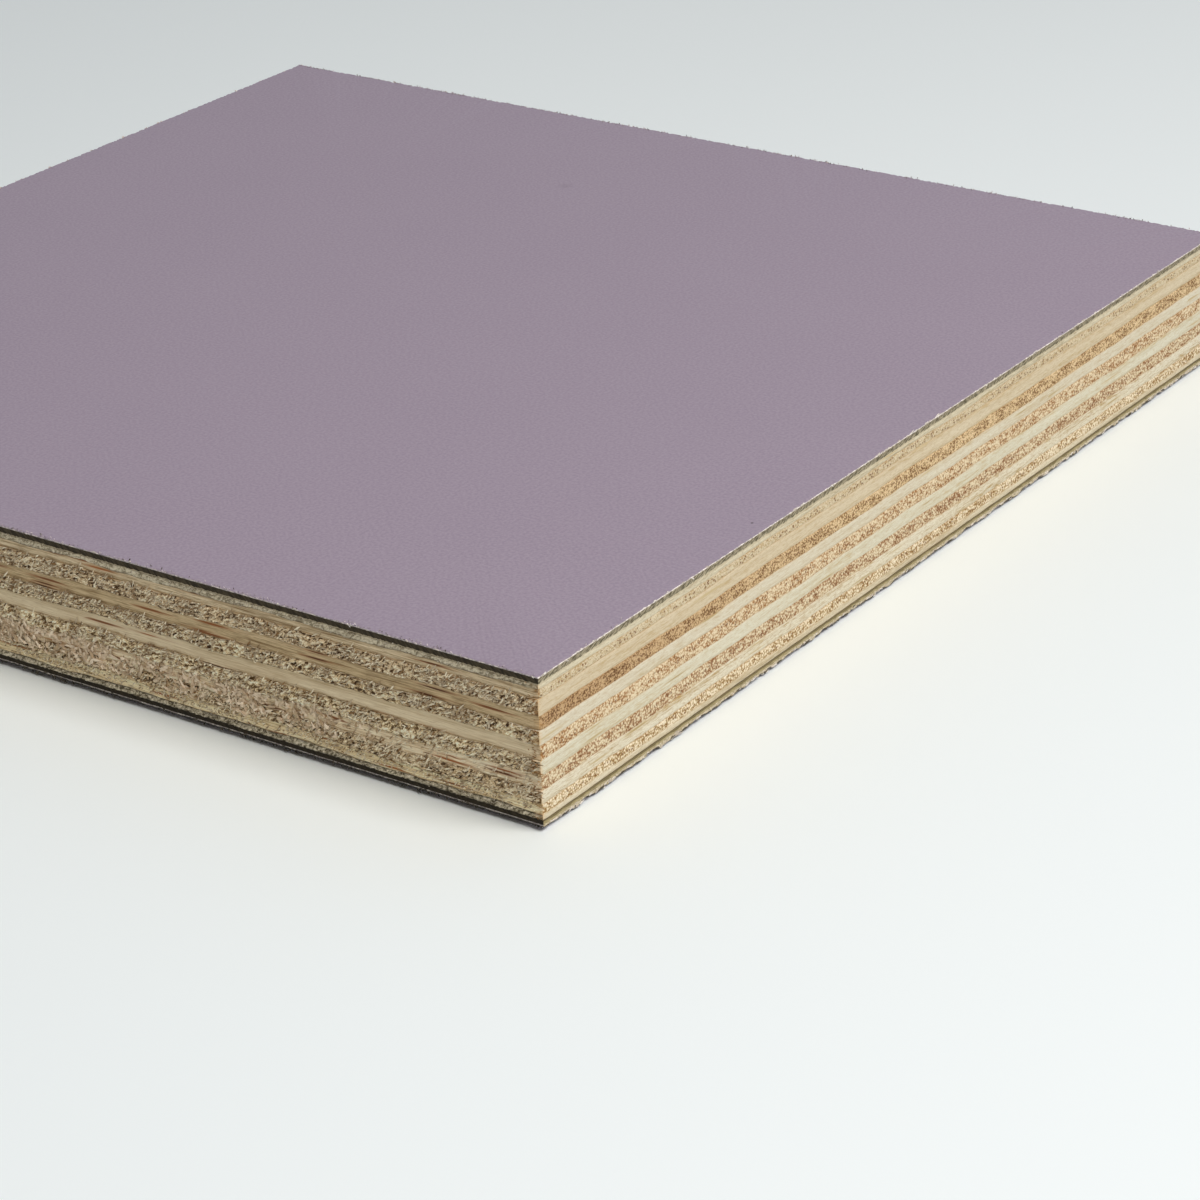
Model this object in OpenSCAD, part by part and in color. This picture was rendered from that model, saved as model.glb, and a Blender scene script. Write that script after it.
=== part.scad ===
// Laminate-faced plywood panel, a square cut from a full board.
// Eleven rotary-cut veneers lie one on another, each with its grain turned a quarter from the last.
// A sheet of high-pressure laminate is pressed onto each face, and the four edges are sawn flush.
// The origin is at the centre of the underside, with Z up through the board.

/* [Panel] */
// Length of the panel along X
panel_x = 150; // [40:1:1220]
// Length of the panel along Y
panel_y = 150; // [40:1:2440]

/* [Laminate] */
// Thickness of the decor laminate on the upper face
laminate_top_t = 0.8; // [0.5:0.1:1.6]
// Thickness of the balancing laminate on the underside
laminate_bottom_t = 0.8; // [0.5:0.1:1.6]

/* [Veneers] */
// Upper face veneer, sanded thin, grain along Y
face_t = 0.65; // [0.4:0.05:3]
// First cross veneer, grain along X
cross_1_t = 1; // [0.6:0.05:3]
// First long veneer, grain along Y
long_1_t = 1.8; // [0.6:0.05:3]
// Second cross veneer, grain along X
cross_2_t = 1.65; // [0.6:0.05:3]
// Second long veneer, grain along Y
long_2_t = 1.6; // [0.6:0.05:3]
// Third cross veneer, at the middle of the board, grain along X
cross_3_t = 1.75; // [0.6:0.05:3]
// Third long veneer, grain along Y
long_3_t = 1.75; // [0.6:0.05:3]
// Fourth cross veneer, grain along X
cross_4_t = 1.6; // [0.6:0.05:3]
// Fourth long veneer, grain along Y
long_4_t = 1.5; // [0.6:0.05:3]
// Fifth cross veneer, grain along X
cross_5_t = 1.2; // [0.6:0.05:3]
// Back veneer, sanded thin, grain along Y
back_t = 0.7; // [0.4:0.05:3]

/* [Hidden] */
DECOR_COLOUR = "#998c99";
LONG_COLOUR = "#d9cba8";
CROSS_COLOUR = "#c0a27a";

// The veneers from the back up to the face: node, thickness and colour
VENEERS = [
    ["veneer_11_back", back_t, LONG_COLOUR],
    ["veneer_10_cross", cross_5_t, CROSS_COLOUR],
    ["veneer_09_long", long_4_t, LONG_COLOUR],
    ["veneer_08_cross", cross_4_t, CROSS_COLOUR],
    ["veneer_07_long", long_3_t, LONG_COLOUR],
    ["veneer_06_cross", cross_3_t, CROSS_COLOUR],
    ["veneer_05_long", long_2_t, LONG_COLOUR],
    ["veneer_04_cross", cross_2_t, CROSS_COLOUR],
    ["veneer_03_long", long_1_t, LONG_COLOUR],
    ["veneer_02_cross", cross_1_t, CROSS_COLOUR],
    ["veneer_01_face", face_t, LONG_COLOUR]
];

// Height of the underside of veneer i, which is also the upper side of the sheet below it
function veneer_z(i) = i == 0 ? laminate_bottom_t : veneer_z(i - 1) + VENEERS[i - 1][1];

// A flat sheet of thickness t at height z, with the outline that the saw leaves on all of them
module sawn_sheet(z, t) {
    translate([0, 0, z])
        linear_extrude(t)
            square([panel_x, panel_y], center = true);
}

// Balancing laminate, which the panel rests on
module laminate_bottom() {
    color(DECOR_COLOUR) sawn_sheet(0, laminate_bottom_t);
}

// Veneer i of the core, face to face with the sheets above and below it
module veneer(i) {
    color(VENEERS[i][2]) sawn_sheet(veneer_z(i), VENEERS[i][1]);
}

// Decor laminate on the face veneer
module laminate_top() {
    color(DECOR_COLOUR) sawn_sheet(veneer_z(len(VENEERS)), laminate_top_t);
}

laminate_bottom();
for (i = [0 : len(VENEERS) - 1])
    veneer(i);
laminate_top();
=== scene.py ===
"""Looks of a laminate-faced plywood sheet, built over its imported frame.

Each CAD sheet is replaced by one of the same size whose four sawn sides are meshed finely.
Geometry Nodes tear the end grain, chip the decor edge and scatter loose fibres, flakes and burrs.
"""
from __future__ import annotations

import logging
import math
from dataclasses import dataclass
from enum import Enum
from typing import Any

import bpy
import numpy as np
from bpy.types import Material, Mesh, Node, NodeSocket, NodeTree, Object
from mathutils import Matrix, Vector


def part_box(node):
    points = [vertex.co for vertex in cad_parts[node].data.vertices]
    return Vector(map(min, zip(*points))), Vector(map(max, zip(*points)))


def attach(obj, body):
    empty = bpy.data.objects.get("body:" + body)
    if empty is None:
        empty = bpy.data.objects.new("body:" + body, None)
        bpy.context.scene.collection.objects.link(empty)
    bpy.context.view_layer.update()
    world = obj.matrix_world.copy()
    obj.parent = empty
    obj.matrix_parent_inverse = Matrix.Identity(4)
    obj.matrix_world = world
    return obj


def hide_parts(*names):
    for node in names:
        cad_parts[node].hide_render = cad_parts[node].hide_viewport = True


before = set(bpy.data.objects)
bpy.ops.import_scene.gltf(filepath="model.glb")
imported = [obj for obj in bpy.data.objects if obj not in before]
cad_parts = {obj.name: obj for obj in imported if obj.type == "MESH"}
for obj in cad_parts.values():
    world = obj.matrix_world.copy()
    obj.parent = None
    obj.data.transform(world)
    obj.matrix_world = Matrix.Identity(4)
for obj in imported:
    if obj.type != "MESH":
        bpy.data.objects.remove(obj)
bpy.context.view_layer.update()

LOG = logging.getLogger("plywood_sheet")
MM = 0.001
BODY = "root"
# Name of the bake map, folded here so that the thin sides get most of it
BAKE_MAP = "OFBake"
# Shift of the colour pattern from one ply to the next, in millimetres
PLY_SHIFT = 7.3
# Shift of the relief from one ply to the next: two lengths of the sheet
RELIEF_SHIFT = 300 * MM
# Left, bottom and size of a square of the bake map
Square = tuple[float, float, float]
# Faces that turn by more than this meet in a sharp edge
SHARP_TURN = math.radians(62)


class Run(Enum):
    """Axis that a pair of sawn sides runs along, by its number."""

    X = 0
    Y = 1


class Bit(Enum):
    """Kind of loose bit that the saw left on a side."""

    FIBRE = "fibre"
    CRUMB = "crumb"
    CURL = "curl"
    FRINGE = "fringe"
    FLAKE = "flake"
    BURR = "burr"
    HAIR = "hair"


class Decor(Enum):
    """Which face of a laminate carries the decor, as the direction of that face."""

    UP = 1
    DOWN = -1


class Marks(Enum):
    """How a pattern of marks is drawn, by the texture that draws it."""

    CLOUDS = "TexNoise"
    CELLS = "TexVoronoi"


class Strip(Enum):
    """Strip of the bake map that loose bits share, by its lower edge."""

    CURLS = 0.922
    BITS = 0.95
    EDGE = 0.975


def linear(colour: str) -> tuple[float, float, float, float]:
    """Turn an sRGB hex colour into linear RGBA.

    Args:
        colour: Colour such as "#998c99".

    Returns:
        Linear red, green and blue, with an alpha of 1.
    """
    channels = [int(colour[i:i + 2], 16) / 255 for i in (1, 3, 5)]
    return (*[c / 12.92 if c <= 0.04045 else ((c + 0.055) / 1.055) ** 2.4 for c in channels], 1.0)


def add(tree: NodeTree, kind: str, inputs: list[Any] | dict[int | str, Any] | None = None,
        stops: tuple[tuple[float, str], ...] = (), **settings: Any) -> Node:
    """Add a node with its settings and links.

    Args:
        tree: Node tree that takes the node.
        kind: Blender's name for the type of node, without the ShaderNode that most of them start with.
        inputs: A socket, a node for its first output, or a value for each input, in order or by name
            or number.
        stops: Places and hex colours of a colour ramp: its first, its last, then any between.
        **settings: Properties of the node.

    Returns:
        The new node.
    """
    node = tree.nodes.new(kind if "Node" in kind else "ShaderNode" + kind)
    for key, value in settings.items():
        setattr(node, key, value)
    for number, (place, colour) in enumerate(stops):
        stop = node.color_ramp.elements[number] if number < 2 else node.color_ramp.elements.new(place)
        stop.position = place
        stop.color = linear(colour)
    by_key = dict(enumerate(inputs)) if isinstance(inputs, list) else inputs or {}
    for key, value in by_key.items():
        if isinstance(value, Node):
            value = value.outputs[0]
        if isinstance(value, NodeSocket):
            tree.links.new(value, node.inputs[key])
        else:
            node.inputs[key].default_value = value
    return node


def start_tree(name: str, inputs: dict[str, str]) -> tuple[NodeTree, bpy.types.NodeOutputs]:
    """Start a Geometry Nodes tree with named inputs.

    Args:
        name: Name of the tree.
        inputs: Type of socket for each named input after the geometry.

    Returns:
        The tree and the sockets that give its inputs.
    """
    tree = bpy.data.node_groups.new(name, "GeometryNodeTree")
    for label, kind in {"Geometry": "Geometry", **inputs}.items():
        tree.interface.new_socket(name=label, in_out="INPUT", socket_type="NodeSocket" + kind)
    tree.interface.new_socket(name="Geometry", in_out="OUTPUT", socket_type="NodeSocketGeometry")
    return tree, tree.nodes.new("NodeGroupInput").outputs


def run_tree(piece: Object, tree: NodeTree, values: dict[str, Any]) -> None:
    """Run a Geometry Nodes tree on a piece and keep the result as its plain mesh.

    Args:
        piece: Mesh object that the tree works on.
        tree: Tree to run.
        values: Value of each named input.
    """
    modifier = piece.modifiers.new(tree.name, "NODES")
    modifier.node_group = tree
    for item in tree.interface.items_tree:
        if item.in_out == "INPUT" and item.name in values:
            modifier[item.identifier] = values[item.name]
    depsgraph = bpy.context.evaluated_depsgraph_get()
    made = bpy.data.meshes.new_from_object(piece.evaluated_get(depsgraph), depsgraph=depsgraph)
    piece.modifiers.remove(modifier)
    plain = piece.data
    piece.data = made
    bpy.data.meshes.remove(plain)


@dataclass(frozen=True)
class Finish:
    """What every finish starts from.

    Attributes:
        name: The real material and how its surface was made.
        seed: Shift of the pattern in millimetres, so that no two plies match.
    """

    name: str
    seed: float = 0.0

    def start(self, roughness: float) -> tuple[Material, NodeTree, Node]:
        """Make a material with one shader.

        Args:
            roughness: Roughness of the whole surface.

        Returns:
            The material, its node tree and its shader.
        """
        material = bpy.data.materials.new(self.name)
        material.use_nodes = True
        tree = material.node_tree
        shader = tree.nodes["Principled BSDF"]
        shader.inputs["Roughness"].default_value = roughness
        return material, tree, shader

    def side_place(self, tree: NodeTree, run: Run) -> Node:
        """Add the place on a sawn side, in millimetres along it and up it.

        Args:
            tree: Node tree of the material.
            run: Axis that the side runs along.

        Returns:
            Node whose first output is the place.
        """
        metres = add(tree, "TexCoord").outputs["Object"]
        axes = add(tree, "SeparateXYZ", [metres])
        flat = add(tree, "CombineXYZ", [axes.outputs[run.value], axes.outputs["Z"]])
        return add(tree, "VectorMath", [flat, (1000, 1000, 0), (self.seed, self.seed, 0)],
                   operation="MULTIPLY_ADD")

    def pattern(self, tree: NodeTree, place: Node, size: tuple[float, float], marks: Marks = Marks.CLOUDS,
                **inputs: float) -> Node:
        """Lay a flat pattern of marks of a real size over a side.

        Args:
            tree: Node tree of the material.
            place: Place on the side in millimetres.
            size: Length and height of one mark in millimetres.
            marks: How the marks are drawn.
            **inputs: Other inputs of the texture.

        Returns:
            The texture.
        """
        counted = add(tree, "VectorMath", [place, (1 / size[0], 1 / size[1], 1)], operation="MULTIPLY")
        flat = {"noise_dimensions": "2D"} if marks is Marks.CLOUDS else {"voronoi_dimensions": "2D"}
        return add(tree, marks.value, {"Vector": counted, "Scale": 1.0, **inputs}, **flat)


@dataclass(frozen=True)
class Veneered(Finish):
    """Finish of a sawn veneer, with the glue lines and the painted glow at the corners that all of them
    share.

    Attributes:
        dark: Colour of pores, pits and late wood.
        middle: Colour that most of the side has.
        pale: Colour of the palest fibres.
        glue: How dark the glue line shows at the edges of the ply, from 0 to 1.
        glue_colour: Colour of the glue line.
        glue_reach: How far from the joint the glue line shows at most, in millimetres.
        painted_glow: Strength of the painted glow at the corners of the sheet, from 0 to 1.
        painted_glow_reach: How far from the corner it shows at most, in millimetres.
        painted_glow_colour: Colour of that painted glow.
    """

    dark: str = "#8c7552"
    middle: str = "#c1ac89"
    pale: str = "#eed9b6"
    glue: float = 0.4
    glue_colour: str = "#4a3519"
    glue_reach: float = 0.16
    painted_glow: float = 0.0
    painted_glow_reach: float = 2.2
    painted_glow_colour: str = "#96703f"

    def finish(self, tree: NodeTree, shader: Node, place: Node, colour: NodeSocket) -> None:
        """Darken the glue lines, paint the glow at the corners, and give the colour to the shader.

        Args:
            tree: Node tree of the material.
            shader: Shader that takes the colour.
            place: Place on the side in millimetres.
            colour: Colour of the wood.
        """
        gap = add(tree, "Attribute", attribute_name="glue_mm").outputs["Fac"]
        broken = self.pattern(tree, place, (3.0, 0.8))
        reach = add(tree, "MapRange", [broken, 0.35, 0.65, 0.02, self.glue_reach])
        line = add(tree, "MapRange", [gap, 0.0, reach, self.glue, 0.0])
        lined = add(tree, "Mix", {0: line, 6: colour, 7: linear(self.glue_colour)}, data_type="RGBA")
        # The corners take the glow colour: painted glow of the light that shines through the thin torn fibres
        # there
        corner = add(tree, "Attribute", attribute_name="corner_mm").outputs["Fac"]
        ragged = self.pattern(tree, place, (0.6, 0.18))
        width = add(tree, "MapRange", [ragged, 0.3, 0.7, 0.2 * self.painted_glow_reach, self.painted_glow_reach])
        painted_glow = add(tree, "MapRange", [corner, 0.0, width, self.painted_glow, 0.0])
        tinted = add(tree, "Mix", {0: painted_glow, 6: lined.outputs[2], 7: linear(self.painted_glow_colour)},
                    data_type="RGBA")
        tree.links.new(tinted.outputs[2], shader.inputs["Base Color"])


@dataclass(frozen=True)
class TornGrain(Veneered):
    """Birch end grain that a coarse saw has torn: pale clumps of fibre with dark pits between them."""

    def material(self, run: Run) -> Material:
        """Make the material for sides that run along an axis.

        Args:
            run: Axis that the sides run along.

        Returns:
            The material.
        """
        # To the eye it is dry and shaggy: leaning strands of cream and tan, darkest down between them
        material, tree, shader = self.start(roughness=0.9)
        place = self.side_place(tree, run)
        relief = add(tree, "Attribute", attribute_name="relief").outputs["Fac"]
        crumb = self.pattern(tree, place, (0.26, 0.14), Detail=3.0, Roughness=0.65)
        patch = self.pattern(tree, place, (7.0, 1.5))
        warp = self.pattern(tree, place, (0.7, 0.7))
        bent = add(tree, "VectorMath", [warp.outputs["Color"], (0.9, 0.9, 0.0), place],
                   operation="MULTIPLY_ADD")
        leaning = add(tree, "VectorRotate", {"Vector": bent, "Angle": math.radians(-30)},
                      rotation_type="Z_AXIS")
        # A single fibre is some 0.03 mm wide and wouldn't show, so each strand here is a bundle of them
        strands = self.pattern(tree, leaning, (0.6, 0.2), Marks.CELLS)
        tone = add(tree, "SeparateColor", [strands.outputs["Color"]])
        crown = add(tree, "MapRange", [strands.outputs["Distance"], 0.25, 0.6, 0.5, 0.0])
        bright = add(tree, "Math", [tone, 0.45, crown], operation="MULTIPLY_ADD")
        shaggy = add(tree, "Mix", {0: 0.55, 2: crumb, 3: bright}, data_type="FLOAT")
        # Lower relief gets darker colours: partly the darker wood down in the pits, partly painted shade
        # there, on top of the shadow that the relief casts
        lifted = add(tree, "Math", [relief, 0.3, shaggy], operation="MULTIPLY_ADD")
        height = add(tree, "Math", [patch, 0.3, lifted], operation="MULTIPLY_ADD")
        wood = add(tree, "ValToRGB", [height],
                   stops=((0.43, self.dark), (0.97, self.pale), (0.68, self.middle)))
        self.finish(tree, shader, place, wood.outputs[0])
        bump = add(tree, "Bump", {"Height": crumb, "Strength": 0.5, "Distance": 0.05 * MM})
        tree.links.new(bump.outputs[0], shader.inputs["Normal"])
        return material


@dataclass(frozen=True)
class BeadGrain(Veneered):
    """Meranti end grain that the saw cut clean: a speckle of pale and brown beads, and open pores.

    Attributes:
        bead: Width of one bead in millimetres.
        pores: Share of the places for a pore that have one.
        pore: Colour down in a pore.
        deepen: How much darker the ply is where the saw went in, from 0 to 1.
        deepened: Tint of the ply there.
        entry: Distance from the corner where the saw went in at which the tint starts to fade, and at
            which it has gone, in millimetres.
    """

    bead: float = 0.26
    pores: float = 0.3
    pore: str = "#6e4218"
    deepen: float = 0.0
    deepened: str = "#b28c5a"
    entry: tuple[float, float] = (6.0, 60.0)

    def material(self, run: Run) -> Material:
        """Make the material for sides that run along an axis.

        Args:
            run: Axis that the sides run along.

        Returns:
            The material.
        """
        # To the eye it is a warm, grainy speckle with brown pinholes in drifts, and hardly any gloss
        material, tree, shader = self.start(roughness=0.8)
        place = self.side_place(tree, run)
        # The cells of the wood are too fine to show, so each bead stands for a bundle of them
        beads = self.pattern(tree, place, (self.bead, self.bead), Marks.CELLS)
        tone = add(tree, "SeparateColor", [beads.outputs["Color"]])
        patch = self.pattern(tree, place, (2.6, 0.9), Detail=3.0)
        crown = add(tree, "MapRange", [beads.outputs["Distance"], 0.25, 0.52, 0.48, 0.0])
        bright = add(tree, "Math", [tone, 0.55, crown], operation="MULTIPLY_ADD")
        swing = add(tree, "MapRange", [patch, 0.3, 0.7, -0.16, 0.16])
        mixed = add(tree, "Math", [bright, swing], operation="ADD")
        wood = add(tree, "ValToRGB", [mixed],
                   stops=((0.1, self.dark), (0.85, self.pale), (0.45, self.middle)))
        holes = self.pattern(tree, place, (0.55, 0.5), Marks.CELLS)
        chosen = add(tree, "SeparateColor", [holes.outputs["Color"]])
        share = add(tree, "MapRange", [patch, 0.38, 0.62, 2.0 * self.pores, 0.0])
        # Next to the joints the glue has filled the pores
        joint = add(tree, "Attribute", attribute_name="glue_mm").outputs["Fac"]
        filled = add(tree, "MapRange", [joint, 0.1, 0.3, 0.0, share])
        here = add(tree, "Math", [chosen, filled], operation="LESS_THAN")
        round_hole = add(tree, "MapRange", [holes.outputs["Distance"], 0.15, 0.31, 0.85, 0.0])
        open_hole = add(tree, "Math", [here, round_hole], operation="MULTIPLY")
        pored = add(tree, "Mix", {0: open_hole, 6: wood.outputs[0], 7: linear(self.pore)}, data_type="RGBA")
        entered = add(tree, "Attribute", attribute_name="entry_mm").outputs["Fac"]
        tinted = add(tree, "MapRange", [entered, self.entry[0], self.entry[1], self.deepen, 0.0])
        deep = add(tree, "Mix", {0: tinted, 6: pored.outputs[2], 7: linear(self.deepened)}, data_type="RGBA",
                   blend_type="MULTIPLY")
        self.finish(tree, shader, place, deep.outputs[2])
        bump = add(tree, "Bump", {"Height": mixed, "Strength": 0.4, "Distance": 0.04 * MM})
        tree.links.new(bump.outputs[0], shader.inputs["Normal"])
        return material


@dataclass(frozen=True)
class LongGrain(Veneered):
    """Veneer sawn along its fibres: smooth, with fine level streaks and a few rust-brown flecks.

    Attributes:
        grain: Length of a streak in millimetres.
        fleck: Colour of the brighter flecks.
        deep_fleck: Colour of the deeper flecks.
        flecks: Share of the places for a fleck that have one.
        lines: How dark the hair lines along the grain are, from 0 to 1.
    """

    grain: float = 6.0
    fleck: str = "#a2602a"
    deep_fleck: str = "#3c1d08"
    flecks: float = 0.3
    lines: float = 0.6

    def material(self, run: Run) -> Material:
        """Make the material for sides that run along an axis.

        Args:
            run: Axis that the sides run along.

        Returns:
            The material.
        """
        # To the eye it is smooth and level, with fine streaks and here and there a rust-brown fleck
        material, tree, shader = self.start(roughness=0.75)
        place = self.side_place(tree, run)
        streak = self.pattern(tree, place, (self.grain, 0.17), Detail=4.0, Roughness=0.65)
        broad = self.pattern(tree, place, (24.0, 0.7))
        mixed = add(tree, "Mix", {0: 0.4, 2: streak, 3: broad}, data_type="FLOAT")
        wood = add(tree, "ValToRGB", [mixed],
                   stops=((0.32, self.dark), (0.64, self.pale), (0.48, self.middle)))
        # The real hair lines are finer than 0.05 mm, so they are drawn 0.12 mm high to show
        hair = self.pattern(tree, place, (0.37 * self.grain, 0.12), Detail=2.0, Roughness=0.7)
        thin = add(tree, "MapRange", [hair, 0.5, 0.66, 0.0, self.lines])
        lined = add(tree, "Mix", {0: thin, 6: wood.outputs[0], 7: linear(self.dark)}, data_type="RGBA")
        lens = self.pattern(tree, place, (7.5, 0.42), Marks.CELLS)
        chosen = add(tree, "SeparateColor", [lens.outputs["Color"]])
        here = add(tree, "Math", [chosen, self.flecks], operation="LESS_THAN")
        reach = add(tree, "MapRange", [chosen.outputs[1], 0.0, 1.0, 0.2, 0.56])
        inner = add(tree, "Math", [reach, 0.35], operation="MULTIPLY")
        halo = add(tree, "MapRange", [lens.outputs["Distance"], inner, reach, 1.0, 0.0])
        shown = add(tree, "Math", [here, halo], operation="MULTIPLY")
        core = add(tree, "Math", [shown, chosen.outputs[2]], operation="MULTIPLY")
        rust = add(tree, "Mix", {0: core, 6: linear(self.fleck), 7: linear(self.deep_fleck)},
                   data_type="RGBA")
        around = add(tree, "MapRange", [lens.outputs["Distance"], 0.1, 0.75, 0.3, 0.0])
        stain = add(tree, "Math", [here, around], operation="MULTIPLY")
        stained = add(tree, "Mix", {0: stain, 6: lined.outputs[2], 7: linear(self.fleck)}, data_type="RGBA")
        flecked = add(tree, "Mix", {0: shown, 6: stained.outputs[2], 7: rust.outputs[2]}, data_type="RGBA")
        self.finish(tree, shader, place, flecked.outputs[2])
        bump = add(tree, "Bump", {"Height": streak, "Strength": 0.25, "Distance": 0.03 * MM})
        tree.links.new(bump.outputs[0], shader.inputs["Normal"])
        return material


@dataclass(frozen=True)
class LooseFibre(Finish):
    """Fibres and flakes that the saw left hanging: each one a flat tone of its own.

    Attributes:
        dark: Colour of the darkest ones.
        pale: Colour of the palest ones.
    """

    dark: str = "#886438"
    pale: str = "#fff5dc"

    def material(self) -> Material:
        """Make the material, which reads the tone that the Geometry Nodes tree gave each fibre.

        Returns:
            The material.
        """
        # To the eye each bit is a plain dry sliver, lighter or darker than the next one
        material, tree, shader = self.start(roughness=0.9)
        tone = add(tree, "Attribute", attribute_name="tone").outputs["Fac"]
        colour = add(tree, "Mix", {0: tone, 6: linear(self.dark), 7: linear(self.pale)}, data_type="RGBA")
        tree.links.new(colour.outputs[2], shader.inputs["Base Color"])
        return material


@dataclass(frozen=True)
class DecorFace(Finish):
    """Matt melamine paper pressed against a fine-pearl plate: a plain mauve with a barely uneven sheen.

    Attributes:
        colour: Colour of most of the face.
        shade: Colour of the fainter clouds in it.
        cloud: Width of one cloud in millimetres.
        pearl: Width of one dimple of the pressed texture in millimetres, drawn coarser than the real
            0.1 mm so that it shows.
        spots: Place along X and Y, radius in millimetres and darkness of each speck of dirt.
        dirt: Colour of the specks.
    """

    colour: str = "#9e92a1"
    shade: str = "#928596"
    cloud: float = 18.0
    pearl: float = 0.35
    spots: tuple[tuple[float, float, float, float], ...] = ()
    dirt: str = "#3c3238"

    def material(self) -> Material:
        """Make the material for the whole face.

        Returns:
            The material.
        """
        # To the eye it is one flat, matt mauve with a soft bloom on the side of the lamp
        material, tree, shader = self.start(roughness=0.6)
        shader.inputs["Specular IOR Level"].default_value = 0.25
        metres = add(tree, "TexCoord").outputs["Object"]
        cloud = add(tree, "TexNoise", {"Vector": metres, "Scale": 1 / (self.cloud * MM), "Detail": 4.0},
                    noise_dimensions="2D")
        grain = add(tree, "TexNoise", {"Vector": metres, "Scale": 1 / (self.pearl * MM), "Detail": 2.0},
                    noise_dimensions="2D")
        mottled = add(tree, "Mix", {0: 0.92, 2: cloud, 3: grain}, data_type="FLOAT")
        ramp = add(tree, "ValToRGB", [mottled], stops=((0.32, self.shade), (0.68, self.colour)))
        colour = ramp.outputs[0]
        flat = add(tree, "VectorMath", [metres, (1.0, 1.0, 0.0)], operation="MULTIPLY")
        for x, y, radius, darkness in self.spots:
            gap = add(tree, "VectorMath", [flat, (x * MM, y * MM, 0.0)], operation="DISTANCE")
            soft = add(tree, "MapRange",
                       [gap.outputs["Value"], 0.3 * radius * MM, radius * MM, darkness, 0.0])
            colour = add(tree, "Mix", {0: soft, 6: colour, 7: linear(self.dirt)}, data_type="RGBA").outputs[2]
        tree.links.new(colour, shader.inputs["Base Color"])
        bump = add(tree, "Bump", {"Height": grain, "Strength": 0.15, "Distance": 0.02 * MM})
        tree.links.new(bump.outputs[0], shader.inputs["Normal"])
        return material


@dataclass(frozen=True)
class KraftCore(Finish):
    """Resin-soaked kraft paper, sawn through: a dark line with slanting tooth marks.

    Attributes:
        dark: Colour in the tooth marks.
        pale: Colour where the teeth rubbed the paper paler.
        pitch: Distance from one tooth mark to the next in millimetres.
        lean: How far the tooth marks lean over, in degrees.
        smear: Height of the line of wood dust or glue along the joint, in millimetres.
        dust: Colour of that line.
    """

    dark: str = "#3a3428"
    pale: str = "#463f31"
    pitch: float = 0.55
    lean: float = 48.0
    smear: float = 0.0
    dust: str = "#b0a389"

    def material(self, run: Run) -> Material:
        """Make the material for sides that run along an axis.

        Args:
            run: Axis that the sides run along.

        Returns:
            The material.
        """
        # To the eye it is a dark, dull line, scratched aslant by the teeth and dusty along the joint
        material, tree, shader = self.start(roughness=0.65)
        shader.inputs["Specular IOR Level"].default_value = 0.15
        place = self.side_place(tree, run)
        leaning = add(tree, "VectorRotate", {"Vector": place, "Angle": math.radians(-self.lean)},
                      rotation_type="Z_AXIS")
        # A cloud and the gap after it make one pitch, and each cloud is four times as long as it is wide
        tooth = self.pattern(tree, leaning, (0.5 * self.pitch, 2.0 * self.pitch), Detail=3.0)
        colour = add(tree, "ValToRGB", [tooth], stops=((0.36, self.dark), (0.64, self.pale)))
        gap = add(tree, "Attribute", attribute_name="glue_mm").outputs["Fac"]
        reach = add(tree, "MapRange", [tooth, 0.3, 0.7, 0.4 * self.smear, 1.6 * self.smear])
        inner = add(tree, "Math", [reach, 0.6], operation="MULTIPLY")
        dusty = add(tree, "MapRange", [gap, inner, reach, 1.0, 0.0])
        dusted = add(tree, "Mix", {0: dusty, 6: colour.outputs[0], 7: linear(self.dust)}, data_type="RGBA")
        tree.links.new(dusted.outputs[2], shader.inputs["Base Color"])
        return material


@dataclass(frozen=True)
class DecorEdge(Finish):
    """The melamine paper seen from its sawn edge: a thin grey line, broken to white where it chipped.

    Attributes:
        colour: Colour of the cut paper.
        chipped: Colour where the saw bruised it.
        lip: Height of the painted shadow along the arris, which stands for the dark gap under the sheet, in
            millimetres.
        ragged: Share of that height by which it swings.
        tinted: Colour of that painted shadow.
    """

    colour: str = "#8a8086"
    chipped: str = "#d8d2cc"
    lip: float = 0.0
    ragged: float = 0.0
    tinted: str = "#15110b"

    def material(self, run: Run) -> Material:
        """Make the material for sides that run along an axis.

        Args:
            run: Axis that the sides run along.

        Returns:
            The material.
        """
        # To the eye it is a fine grey thread along the edge, whitened in dashes where the saw bruised it
        material, tree, shader = self.start(roughness=0.7)
        chip = add(tree, "Attribute", attribute_name="chip").outputs["Fac"]
        place = self.side_place(tree, run)
        fine = self.pattern(tree, place, (0.3, 0.2), Detail=2.0)
        bruise = add(tree, "Math", [chip, 0.6, fine], operation="MULTIPLY_ADD")
        colour = add(tree, "ValToRGB", [bruise], stops=((0.4, self.colour), (0.75, self.chipped)))
        # A band of the lip's height along the arris gets the dark colour: painted shadow of the gap under the
        # sheet
        gap = add(tree, "Attribute", attribute_name="glue_mm").outputs["Fac"]
        broken = self.pattern(tree, place, (2.0, 2.0), Detail=2.0)
        edge = add(tree, "MapRange",
                   [broken, 0.4, 0.6, self.lip * (1 - self.ragged), self.lip * (1 + self.ragged)])
        lip = add(tree, "Math", [gap, edge], operation="LESS_THAN")
        tinted = add(tree, "Mix", {0: lip, 6: colour.outputs[0], 7: linear(self.tinted)}, data_type="RGBA")
        tree.links.new(tinted.outputs[2], shader.inputs["Base Color"])
        return material


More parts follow.
